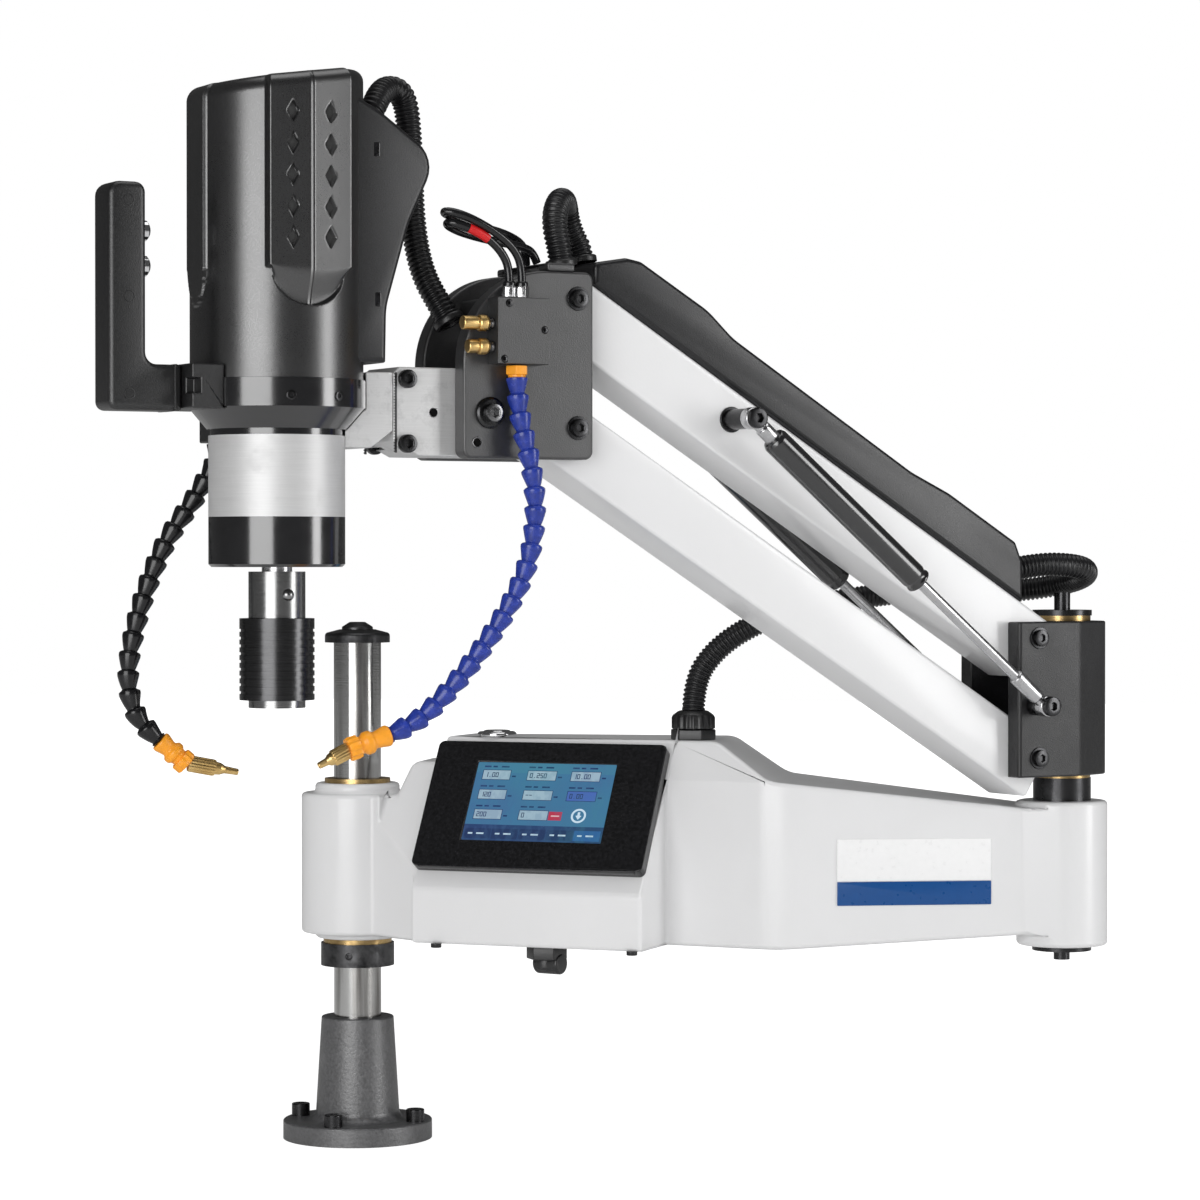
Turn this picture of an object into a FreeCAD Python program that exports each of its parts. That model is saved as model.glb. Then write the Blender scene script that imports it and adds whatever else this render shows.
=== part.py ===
import FreeCAD, Part
import math
import os

# Swing-arm tapping machine, in millimetres.
# World frame: origin at the middle of the base flange's bottom, on the column's axis. +Z is up, +X runs
# along the base arm from the column to the rear post. The double arm has a frame of its own: u runs forward
# along the arm from the post, v to the arm's near side, z up.

V = FreeCAD.Vector
UP = V(0, 0, 1)

# ---------------------------------------------------------------- clearances
SHAFT_GAP = 0.05          # radial, a shaft in its bush
SLIDE_GAP = 0.3           # between bodies that pass each other
SEAT_GAP = 0.1            # between faces that turn on each other
HOLE_GAP = 0.5            # radial, a bolt in its clearance hole

# ---------------------------------------------------------------- stand
FLANGE_R = 60.0
FLANGE_T = 15.0
PEDESTAL_R_LOW = 34.0
PEDESTAL_R_TOP = 29.0
PEDESTAL_TOP = 98.2
PEDESTAL_FILLET = 8.0
BOLT_CIRCLE_R = 50.0
BASE_BOLT_R = 4.0
BASE_SHANK_R = 3.9        # plain shank inside the flange
BASE_BOLT_COUNT = 4
BASE_BOLT_REACH = 20.0    # stud length that stands out below the flange
BASE_BOLT_TURN = -9.0     # degrees, first bolt from +X
BOLT_HEAD_R = 7.3
BOLT_HEAD_H = 10.0
BOLT_SOCKET_R = 3.0
BOLT_SOCKET_DEPTH = 5.0
COLUMN_R = 19.0
COLUMN_FLOOR = 10.0       # pedestal metal left under the column
COLUMN_TOP = 399.6
COLLAR_R = 29.5
COLLAR_Z = 139.5
COLLAR_H = 18.2
COLLAR_SCREW_R = 3.0
THRUST_RING_H = 4.0
THRUST_RING_INSET = 2.0
CAP_R = 26.2
CAP_H = 10.4
CAP_CROWN = 3.0
CAP_SCREW_R = 12.5
CAP_SCREW_H = 6.0
CAP_SCREW_SHANK_R = 4.0
CAP_SCREW_DEPTH = 25.0

# ---------------------------------------------------------------- base arm and control box
RING_FOOT_H = 4.6         # raised rings under and over the front hub
RING_FOOT_R = 33.5
HUB_R = 45.0
HUB_TOP = 278.8
HUB_RING_R = 34.0
HUB_RING_H = 7.9
BUSH_WALL = 4.0
BUSH_LENGTH = 30.0
BUSH_FLANGE_R = 26.5
BUSH_FLANGE_H = 3.5
POST_X = 565.0            # rear post axis from the column axis
REAR_HUB_R = 35.3
BOX_LEFT = 62.0           # control box, front left corner
BOX_FRONT = -80.0
BOX_TURN = -11.31         # degrees, direction of the box's front face
BOX_WIDTH = 193.3
BOX_DEPTH = 125.0
BOX_TOP = 325.0
BOX_WALL = 6.0
BOX_FRONT_H = 61.2        # height of the upright part of the front face
BOX_COVER_T = 3.0
BOX_COVER_EDGE = 3.0      # casting left in front of and behind the cover
BOX_COVER_LEFT = 6.0
ARM_BEND_X = 353.0        # widest place of the arm's front face
ARM_BEND_Y = -90.0
ARM_TAIL_X = 535.0
ARM_TAIL_Y = 35.0
ARM_BACK_Y = 43.0
ARM_TAIL_TOP = 273.7
ARM_TAIL_BOTTOM = 176.0
ARM_BEND_TOP = 296.0
ARM_EAR_TOP = 305.0
ARM_NECK_X = 255.0        # the box's right end, where the arm's front face begins
ARM_NECK_Y = -63.0
ARM_BEND_R = 60.0
HUB_EAR_X = 20.0
SHOULDER_RISE = 30.0
SHOULDER_RUN = 16.0
SHOULDER_LENGTH = 150.0
PANEL_LEAN = 58.6         # degrees, the operator panel's slope from level
PANEL_H = 111.0
PANEL_T = 10.0
SCREEN_LEFT = 37.7
SCREEN_LOW = 23.5
SCREEN_W = 117.0
SCREEN_H = 69.0
SCREEN_T = 2.5
SCREEN_SINK = 0.8         # glass below the bezel's face
BEZEL_R = 5.0
POWER_X = 116.0
POWER_Y = -5.0
POWER_R = 11.0
POWER_H = 5.0
POWER_DEPTH = 12.0
POWER_TRAVEL = 2.5
GLAND_X = 279.0
GLAND_Y = -33.0
GLAND_HEX = 31.0          # across flats
GLAND_HEX_H = 11.0
GLAND_DOME_H = 8.0
ELBOW_X = 170.0
ELBOW_Y = -76.0
ELBOW_HEX = 28.0
ELBOW_HEX_H = 11.0
ELBOW_H = 23.0
UNIT_REAR_GAP = 30.0      # electronics: from the box's front and rear faces
UNIT_LIFT = 10.0
UNIT_GAP = 10.0
UNIT_LEFT = 20.0
UNIT_RIGHT_GAP = 13.3
DRIVE_SHARE = 0.44        # the drive's part of the box's width
DRIVE_H = 48.0
SUPPLY_H = 38.0

# ---------------------------------------------------------------- rear post
POST_R = 11.0
POST_BOTTOM = 166.1
SPACER_R = 22.5
SPACER_H = 17.8
BLOCK_BOTTOM = 299.6
BLOCK_TOP = 418.8
POST_RING_H = 4.0
POST_WASHER_R = 23.0
POST_WASHER_H = 4.3
POST_BOLT_R = 6.25
POST_BOLT_H = 13.6
POST_LOW_BOLT_H = 7.48
POST_BOLT_SHANK_R = 4.0
POST_BOLT_DEPTH = 30.0

# ---------------------------------------------------------------- double arm
SWING_PLAN = 38.66        # degrees between the arm at rest and the base arm, in plan
ARM_ELEVATION = 31.5      # degrees at rest
PIVOT_U = 50.0
PIVOT_TOP_Z = 406.4
PIVOT_SPACING = 92.0
ARM_LENGTH = 470.0
ARM_HALF = 24.5
ARM_PAST_REAR = 15.0
ARM_PAST_FRONT = 18.0
UPPER_LOW = -27.5
UPPER_HIGH = 20.5
LOWER_LOW = -27.0
LOWER_HIGH = 19.0
ARM_TAIL_R = 3.0
ARM_NOSE_R = 18.0
PIN_R = 6.0
PIN_BUSH_R = 9.0
PIN_HEAD_R = 6.6
PIN_HEAD_H = 3.5
COVER_HALF = 27.0
COVER_WALL = 2.2
COVER_REAR = 19.3         # foot of the cover along the beam
COVER_FRONT_GAP = 11.0    # between the front pivot and the cover's foot
COVER_WAIST = 51.8        # normal height of the cover's low middle
COVER_REAR_HUMP = 56.2
COVER_FRONT_HUMP = 57.4
COVER_BEND_R = 60.0
FORK_HALF = 40.0
FORK_GAP = 25.0           # half of the fork's opening
BLOCK_FRONT = 68.8
BLOCK_REAR = -29.0
BLOCK_REAR_HALF = 24.0    # half width of the block's narrow rear
BLOCK_SHOULDER_U = 12.0
POCKET_U = 18.5
CLIP_R = 12.0
CLIP_GAP = 0.3            # between the clip and the conduits that meet it
CLIP_HALF = 3.0
CLIP_STRAP = 3.0
CLIP_STRAP_H = 24.0

# the upper front pivot at rest, in the arm's frame
ARM_RISE = math.radians(ARM_ELEVATION)
FRONT_U = PIVOT_U + ARM_LENGTH * math.cos(ARM_RISE)
FRONT_Z = PIVOT_TOP_Z + ARM_LENGTH * math.sin(ARM_RISE)

# ---------------------------------------------------------------- gas springs
SPRING_V = 55.0
SPRING_P_U = 54.5
SPRING_P_Z = 354.9
SPRING_Q_ALONG = 311.0
SPRING_EYE_R = 8.0
SPRING_EYE_HALF = 5.0
SPRING_NECK_R = 6.0
SPRING_EYE_NECK = 10.0
SPRING_ROD_NECK = 37.0
SPRING_ROD_R = 4.0
SPRING_ROD_END = 262.0
SPRING_TUBE_R = 10.0
SPRING_TUBE_BORE = 8.6
SPRING_TUBE_NEAR_Q = 22.4
SPRING_TUBE_FAR_Q = 188.4
SPRING_TUBE_HEAD = 6.0
STUD_R = 5.0
STUD_BOSS_R = 7.5
STUD_HEAD_R = 7.5
STUD_HEAD_H = 5.0

# ---------------------------------------------------------------- front bracket, from the upper front pivot
PLATE_PAST_PIVOT = 12.34
PLATE_LENGTH = 103.2
PLATE_OVER_PIVOT = 19.03
PLATE_HEIGHT = 133.5
PLATE_BIG_R = 67.0
PLATE_SMALL_R = 6.0
PLATE_REAR = FRONT_U - PLATE_PAST_PIVOT
PLATE_FRONT = PLATE_REAR + PLATE_LENGTH
PLATE_HIGH = FRONT_Z + PLATE_OVER_PIVOT
PLATE_LOW = PLATE_HIGH - PLATE_HEIGHT
BRIDGE_INSET = 14.6       # from the plates' rear edge
BRIDGE_LENGTH = 22.0
BRIDGE_H = 6.0
WEB_INSET = 51.6          # from the plates' rear edge
WEB_LENGTH = 22.0
WEB_DROP = 19.0           # below the plates' top
WEB_H = 30.0
COUPLING_INSET = 61.6     # rear end of the coupling block, from the plates' rear edge
COUPLING_REACH = 47.3     # from the plates' front edge to the seam
COUPLING_LIFT = 1.5       # above the plates' lower edge
COUPLING_H = 62.0
COUPLING_CHAMFER = 10.0
COUPLING_TOP_CHAMFER = 4.0
COUPLING_U = PLATE_REAR + COUPLING_INSET
COUPLING_SEAM_U = PLATE_FRONT + COUPLING_REACH
COUPLING_LOW = PLATE_LOW + COUPLING_LIFT
COUPLING_HIGH = COUPLING_LOW + COUPLING_H
CROSS_BOLT_INSET = 20.8   # from the plates' front edge
CROSS_BOLT_RISE = 32.0    # from the plates' lower edge
CROSS_BOLT_R = 5.0
CROSS_HEAD_R = 7.0
CROSS_HEAD_H = 5.0
CROSS_WASHER_R = 10.0
CROSS_WASHER_H = 2.5
CROSS_BOLT_U = PLATE_FRONT - CROSS_BOLT_INSET
CROSS_BOLT_Z = PLATE_LOW + CROSS_BOLT_RISE
INDEX_HOLE_BACK = 31.1    # from the seam
INDEX_HOLE_R = 3.0
INDEX_HOLE_DEPTH = 6.0
BLOCK_SCREW_BACK = 9.9    # from the seam
BLOCK_SCREW_EDGE = 8.4    # from the coupling's lower and upper edges
BLOCK_SCREW_R = 6.5
BLOCK_SCREW_H = 5.0
BLOCK_SCREW_DEPTH = 14.0
BLOCK_SCREW_U = COUPLING_SEAM_U - BLOCK_SCREW_BACK
BLOCK_SCREW_Z = (COUPLING_LOW + BLOCK_SCREW_EDGE, COUPLING_HIGH - BLOCK_SCREW_EDGE)
VALVE_INSET = 18.9        # from the plates' front edge
VALVE_LENGTH = 40.3
VALVE_DROP = 20.8         # below the plates' top
VALVE_HEIGHT = 46.7
VALVE_T = 16.0
VALVE_FRONT = PLATE_FRONT - VALVE_INSET
VALVE_REAR = VALVE_FRONT - VALVE_LENGTH
VALVE_HIGH = PLATE_HIGH - VALVE_DROP
VALVE_LOW = VALVE_HIGH - VALVE_HEIGHT
VALVE_SCREWS = ((VALVE_FRONT - 8.7, VALVE_HIGH - 4.2), (VALVE_REAR + 3.5, VALVE_LOW + 24.4),
                (VALVE_FRONT - 5.1, VALVE_LOW + 3.4))
VALVE_SCREW_R = 2.4
VALVE_SCREW_DEPTH = 3.0
KNOB_R = 5.8
KNOB_COLLAR_R = 5.0
KNOB_NECK_R = 3.8
KNOB_STEM_R = 3.0
KNOB_STEM_DEPTH = 10.0
KNOB_GRIP_START = 11.0    # from the valve block's face
KNOB_TOP = (VALVE_HIGH - 18.4, 30.3)      # axis height and reach past the valve block
KNOB_LOW = (VALVE_LOW + 12.0, 25.3)
PUSH_FITTING_U = (VALVE_FRONT - 22.7, VALVE_FRONT - 12.7)
PUSH_FITTING_R = 4.4
PUSH_FITTING_H = 11.0
HOSE_FITTING_U = VALVE_FRONT - 18.7
HOSE_FITTING_HEX = 14.88   # across flats
HOSE_FITTING_H = 8.5
HOSE_FITTING_NECK_R = 5.0

# ---------------------------------------------------------------- head, from the coupling's seam
HEAD_REACH = 77.6         # from the seam to the spindle's axis
AXIS_U = COUPLING_SEAM_U + HEAD_REACH
ROLL_RISE = 35.5          # tilt axis above the plates' lower edge
ROLL_Z = PLATE_LOW + ROLL_RISE
ROLL_ROOM_R = 42.0        # what the coupling sweeps while the head tilts
COLLAR_HEAD_R = 61.5
COLLAR_HEAD_DROP = 2.2    # below the tilt axis
COLLAR_HEAD_H = 19.4
CONE_H = 14.5
CONE_RING_H = 4.3
ANODISED_H = 56.1
LOWER_BAND_H = 34.6
BAND_R = 47.3
BAND_BORE = 26.0
COLLAR_HEAD_Z = ROLL_Z - COLLAR_HEAD_DROP
COLLAR_HEAD_TOP = COLLAR_HEAD_Z + COLLAR_HEAD_H
CONE_Z = COLLAR_HEAD_Z - CONE_H
BAND_TOP = CONE_Z - CONE_RING_H
BAND_MID = BAND_TOP - ANODISED_H
BAND_BOTTOM = BAND_MID - LOWER_BAND_H
HOUSING_R = 60.5
HOUSING_WALL = 3.0
HOUSING_H_REAR = 217.5
HOUSING_H_FRONT = 200.5
HOUSING_EDGE_R = 9.0
HOUSING_TOP_REAR = COLLAR_HEAD_TOP + HOUSING_H_REAR
HOUSING_TOP_FRONT = COLLAR_HEAD_TOP + HOUSING_H_FRONT
FAIRING_HALF = 42.0
FAIRING_GAP = 1.5         # between the coupling and the fairing's foot
FAIRING_WALL = 3.0
FAIRING_REACH = 4.1       # behind the housing at the fairing's foot
FAIRING_TOP_BACK = 40.0   # from the spindle's axis
FAIRING_TOP_DROP = 19.7   # below the housing's rear edge
# behind and above the foot's end, with the corner's radius
FAIRING_BACK = ((0.7, 38.5, 50.0), (17.9, 97.0, 60.0), (39.7, 143.6, 21.0))
FAIRING_LOW = COUPLING_HIGH + FAIRING_GAP
MOTOR_R = 49.0            # turned corners of the square motor
MOTOR_H = 124.8
MOTOR_SQUARE = 76.0
REDUCER_R = 50.0
REDUCER_H = 55.0
SPINDLE_R = 10.5
SPINDLE_OVERLAP = 9.8     # spindle inside the reducer
BEARING_R = 26.0
BEARING_H = 14.0
BEARING_LIFT = 4.7        # from the band's bottom to the lower bearing
BEARING_SPACING = 64.0
SPINDLE_TOP = COLLAR_HEAD_TOP + SPINDLE_OVERLAP
BEARING_Z = (BAND_BOTTOM + BEARING_LIFT, BAND_BOTTOM + BEARING_LIFT + BEARING_SPACING)
CHUCK_GAP = 3.2           # between the band and the chuck
CHUCK_R = 19.7
CHUCK_H = 94.3
CHUCK_BORE_R = 15.5
CHUCK_BORE_DEPTH = 62.0
CHUCK_BALL_R = 4.5
CHUCK_BALL_DROP = 16.1
CHUCK_BALL_SINK = 1.5
CHUCK_TOP = BAND_BOTTOM - CHUCK_GAP
CHUCK_BOTTOM = CHUCK_TOP - CHUCK_H
CHUCK_BALL_Z = CHUCK_TOP - CHUCK_BALL_DROP
SLEEVE_R = 26.0
SLEEVE_LIFT = 5.4         # above the chuck's lower end
SLEEVE_H = 56.5
SLEEVE_RIBS = 9
SLEEVE_PLAIN = 4.0        # plain ends of the ribbed sleeve
SLEEVE_LOW = CHUCK_BOTTOM + SLEEVE_LIFT
SLEEVE_TOP = SLEEVE_LOW + SLEEVE_H
RIB_DEPTH = 0.9
HEAD_FOOT_BACK = 26.5     # from the spindle's axis to the coupling foot's end
HEAD_FOOT_DROP = 12.3     # below the cone
CLAMP_HALF = 32.0
CLAMP_IN = 40.0
CLAMP_OUT = 76.0
CLAMP_DROP = 1.8          # below the collar
CLAMP_RISE = 9.3          # above the collar
CLAMP_NOTCH_U = 69.6
CLAMP_NOTCH_V = 20.0
CLAMP_NOTCH_LIFT = 10.6
CLAMP_NOTCH_H = 10.0
CLAMP_LOW = COLLAR_HEAD_Z - CLAMP_DROP
CLAMP_HIGH = COLLAR_HEAD_TOP + CLAMP_RISE
GRIP_HALF = 15.0
GRIP_IN = 102.0
GRIP_OUT = 129.0
GRIP_DROP = 1.5           # below the clamp
GRIP_H = 154.5
FOOT_DROP = 0.5           # below the clamp's top
GRIP_LOW = CLAMP_LOW - GRIP_DROP
GRIP_TOP = GRIP_LOW + GRIP_H
FOOT_HIGH = CLAMP_HIGH - FOOT_DROP
BUTTON_R = 7.0
BUTTON_DOME_R = 9.5
BUTTON_Z = (GRIP_TOP - 32.0, GRIP_TOP - 56.0)
BUTTON_PROUD = 8.0
BUTTON_DEPTH = 6.0
BUTTON_TRAVEL = 3.0
HOSE_CLAMP_HALF = 10.0
HOSE_CLAMP_IN = 50.0      # from the axis to the hose clamp's inner face
HOSE_R = 6.0
HOSE_TIP_R = 5.0
NOZZLE_BORE_R = 1.5
CONDUIT_R = 9.0
AIR_TUBE_R = 3.0


# ---------------------------------------------------------------- routes of cords, hoses and conduits
# In the arm's frame (u, v, z). Each list is the chosen corners of the run.
def from_front(*corners):
    """Corners given from the upper front pivot."""
    return tuple((FRONT_U + u, v, FRONT_Z + z) for u, v, z in corners)


def from_axis(*corners):
    """Corners given from the spindle's axis and the collar's top."""
    return tuple((AXIS_U + u, v, COLLAR_HEAD_TOP + z) for u, v, z in corners)


ROUTE_CONDUIT_BASE = ((243.8, -152.9, 344), (243.8, -152.9, 370), (228, -146, 396), (200, -134, 416),
                      (166, -120, 428), (130, -106, 435), (94, -95, 440), (68, -84, 442),
                      (46, -72.3, 441.5))
ROUTE_CONDUIT_REAR = ((34, -65.7, 441.5), (16, -55.5, 441.5), (-3, -47, 443), (-18, -35, 446),
                      (-26, -18, 450), (-24, 0, 455), (-14, 10, 459.5), (1, 13, 462), (18, 9, 463),
                      (36, 3, 461), (53.5, 0, 458))
ROUTE_CONDUIT_FRONT = from_front((-33.74, 0, 31.53), (-31.24, 0, 44.03), (-21.74, -3, 53.03),
                                 (-17.24, -3, 65.03), (-11.74, 0, 75.03), (-3.24, 5, 78.53),
                                 (4.76, 10, 75.03), (9.26, 15, 65.03), (8.26, 21, 47.03), (8.26, 21, 25.53))
ROUTE_TUBE_A = from_front((59.26, 48, 9.23), (59.26, 48, 19.03), (64.26, 48.5, 30.03),
                          (75.26, 49.5, 39.03), (89.26, 49.5, 46.03), (100.26, 47.5, 50.03),
                          (104.26, 42, 50.53), (99.26, 36, 48.53), (87.26, 33, 45.03), (69.26, 31, 42.03),
                          (51.26, 27, 40.03), (34.26, 21, 38.03), (22.26, 15.5, 34.53),
                          (19.76, 14.5, 26.43))
ROUTE_TUBE_B = from_front((49.26, 48, 9.23), (49.26, 48, 21.03), (55.26, 49.5, 34.03),
                          (68.26, 50.5, 45.03), (84.26, 51, 52.53), (96.26, 50, 57.53),
                          (102.26, 44.5, 59.03), (98.26, 38, 57.53), (85.26, 34, 53.53),
                          (67.26, 29, 50.03), (49.26, 21, 47.03), (31.26, 9, 42.03), (21.26, 0, 36.03),
                          (19.26, -3, 26.43))
ROUTE_BLUE = from_front((53.26, 48, -57.17), (53.06, 48.6, -74.97), (50.26, 52, -95.97),
                        (46.26, 56, -117.97), (44.26, 59, -139.97), (45.26, 60, -162.97),
                        (50.26, 61, -185.97), (59.26, 61, -206.97), (71.26, 60, -226.97),
                        (85.26, 58, -246.97), (100.26, 56, -265.97), (117.26, 53, -284.97),
                        (135.26, 51, -299.67), (153.26, 49.6, -306.57))
HEAD_RUN_LOW = from_front((76.26, -12, -15.97), (82.26, -18, -1.97), (89.26, -25, 15.03),
                         (93.26, -30, 35.03), (95.66, -33, 62.03))
HEAD_RUN_HIGH = from_axis((-119.5, -34, 154.8), (-118.5, -34, 177.8), (-115, -32, 201.8),
                          (-107.5, -29, 211.3), (-95.5, -25, 211.3), (-86, -17, 204.3),
                          (-79.3, -12, 194.1), (-69.5, -12, 179.1))
ROUTE_CONDUIT_HEAD = HEAD_RUN_LOW + HEAD_RUN_HIGH
ROUTE_BLACK = from_axis((14.5, -71, -41.4), (14.5, -71, -52.2), (23.5, -72.5, -68.2),
                        (33.5, -73.5, -84.2), (45.5, -74, -100.2), (55.5, -74, -116.2),
                        (63.5, -74, -134.2), (70.5, -73.5, -152.2), (76.5, -72.5, -171.2),
                        (81.5, -70.5, -190.2), (84, -67.5, -209.2), (82, -63.5, -227.2),
                        (75.5, -60, -240.2), (64.5, -57, -250.2))
BLUE_TIP = from_front((153.56, 49.6, -306.67), (181.26, 47.4, -315.67), (204.26, 44, -326.97))
BLACK_TIP = from_axis((64.3, -56.9, -250.4), (47.1, -52.2, -266), (10.5, -44, -273.2))


# ---------------------------------------------------------------- shape helpers
def cylinder(radius, z_low, z_high, x=0.0, y=0.0):
    return Part.makeCylinder(radius, z_high - z_low, V(x, y, z_low))


def bar(radius, start, end):
    """A round bar from one point to another."""
    line = end.sub(start)
    return Part.makeCylinder(radius, line.Length, start, line)


def ring(outer, inner, z_low, z_high, x=0.0, y=0.0):
    return cylinder(outer, z_low, z_high, x, y).cut(cylinder(inner, z_low - 1, z_high + 1, x, y))


def cuboid(x_low, x_high, y_low, y_high, z_low, z_high):
    return Part.makeBox(x_high - x_low, y_high - y_low, z_high - z_low, V(x_low, y_low, z_low))


def hexagon(across, z_low, z_high, x=0.0, y=0.0):
    """A hexagonal prism, across its flats."""
    reach = across / math.sqrt(3)
    turns = [math.radians(60 * i) for i in range(6)]
    corners = [V(x + reach * math.cos(turn), y + reach * math.sin(turn), z_low) for turn in turns]
    return Part.Face(Part.makePolygon(corners + corners[:1])).extrude(UP * (z_high - z_low))


def corner_arc(before, corner, after, radius):
    """The tangent arc that rounds a corner, and its two ends."""
    back = before.sub(corner).normalize()
    ahead = after.sub(corner).normalize()
    half = math.acos(max(-1.0, min(1.0, back.dot(ahead)))) / 2
    reach = radius / math.tan(half)
    first = corner.add(back * reach)
    last = corner.add(ahead * reach)
    inward = back.add(ahead).normalize()
    middle = corner.add(inward * (radius / math.sin(half) - radius))
    return first, Part.Arc(first, middle, last).toShape(), last


def outline(corners, plane):
    """A closed wire through (a, b) or (a, b, corner radius) points; plane turns a, b into a vector."""
    points = [plane(corner[0], corner[1]) for corner in corners]
    count = len(points)
    edges = []
    ends = []
    for i, corner in enumerate(corners):
        if len(corner) == 3:
            first, arc, last = corner_arc(points[i - 1], points[i], points[(i + 1) % count], corner[2])
            ends.append((first, arc, last))
        else:
            ends.append((points[i], None, points[i]))
    for i in range(count):
        if ends[i][1] is not None:
            edges.append(ends[i][1])
        start = ends[i][2]
        finish = ends[(i + 1) % count][0]
        if finish.sub(start).Length > 1e-6:
            edges.append(Part.LineSegment(start, finish).toShape())
    return Part.Wire(edges)


def side_prism(corners, y_low, y_high):
    """An outline in X and Z, carried along Y."""
    wire = outline(corners, lambda a, b: V(a, y_low, b))
    return Part.Face(wire).extrude(V(0, y_high - y_low, 0))


def plan_prism(corners, z_low, z_high):
    """An outline in X and Y, carried up along Z."""
    wire = outline(corners, lambda a, b: V(a, b, z_low))
    return Part.Face(wire).extrude(UP * (z_high - z_low))


def turned(corners, x=0.0, y=0.0):
    """A profile of (radius, height) points, turned about an upright axis."""
    wire = outline(corners, lambda a, b: V(x + a, y, b))
    return Part.Face(wire).revolve(V(x, y, 0), UP, 360)


def cut_all(shape, tools):
    for tool in tools:
        shape = shape.cut(tool)
    return shape


def fuse_all(shapes):
    return shapes[0].multiFuse(shapes[1:]).removeSplitter()


def group(shapes):
    return Part.makeCompound(shapes)


def mirrored_v(shape):
    return shape.mirror(V(0, 0, 0), V(0, 1, 0))


def cord_tube(name, route, radius):
    """A tube along straight runs and the tangent arcs between them, as large as the runs allow."""
    points = [V(*point) for point in route]
    edges = []
    radii = []
    start = points[0]
    for before, corner, after in zip(points, points[1:], points[2:]):
        shorter = min(corner.sub(before).Length, after.sub(corner).Length)
        turn = corner.sub(before).getAngle(after.sub(corner))
        bend = 0.45 * shorter / math.tan(turn / 2)
        first, arc, last = corner_arc(before, corner, after, bend)
        edges.append(Part.LineSegment(start, first).toShape())
        edges.append(arc)
        radii.append(bend)
        start = last
    edges.append(Part.LineSegment(start, points[-1]).toShape())
    path = Part.Wire(edges)
    section = Part.Wire(Part.Circle(points[0], points[1].sub(points[0]), radius).toShape())
    tube = path.makePipeShell([section], True, False)
    expected = math.pi * radius ** 2 * path.Length
    print(f"{name}: length {path.Length:.0f}, smallest arc {min(radii):.0f}, volume ratio "
          f"{tube.Volume / expected:.4f}, arcs " + " ".join(f"{bend:.0f}" for bend in radii))
    return tube


# ---------------------------------------------------------------- placing
ARM_FRAME = FreeCAD.Placement(V(POST_X, 0, 0), FreeCAD.Rotation(UP, 180 + SWING_PLAN))
PANEL_ACROSS = V(math.cos(math.radians(BOX_TURN)), math.sin(math.radians(BOX_TURN)), 0)
PANEL_INWARD = UP.cross(PANEL_ACROSS)
BOX_BOTTOM = COLLAR_Z + COLLAR_H + THRUST_RING_H + RING_FOOT_H
BOX_FRAME = FreeCAD.Placement(V(BOX_LEFT, BOX_FRONT, BOX_BOTTOM), FreeCAD.Rotation(UP, BOX_TURN))


def in_arm_frame(shape):
    placed = shape.copy()
    placed.Placement = ARM_FRAME.multiply(placed.Placement)
    return placed


def on_slope(shape, pivot_z):
    """From along-and-normal coordinates about a rear pivot to the arm's frame at rest."""
    placed = shape.copy()
    tilt = FreeCAD.Placement(V(PIVOT_U, 0, pivot_z), FreeCAD.Rotation(V(0, 1, 0), -ARM_ELEVATION))
    placed.Placement = tilt.multiply(placed.Placement)
    return placed


def save(name, shape):
    solids = shape.Solids
    bad = [solid for solid in solids if not solid.isValid() or solid.Volume <= 0]
    if bad or not solids:
        print(f"{name}: {len(solids)} solids, {len(bad)} not valid")
    shape.exportStep(f"parts/{name}.step")


# ---------------------------------------------------------------- stand
COLLAR_TOP = COLLAR_Z + COLLAR_H
RING_TOP = COLLAR_TOP + THRUST_RING_H


def bolt_places():
    for i in range(BASE_BOLT_COUNT):
        turn = math.radians(BASE_BOLT_TURN + 360.0 * i / BASE_BOLT_COUNT)
        yield BOLT_CIRCLE_R * math.cos(turn), BOLT_CIRCLE_R * math.sin(turn)


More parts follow.
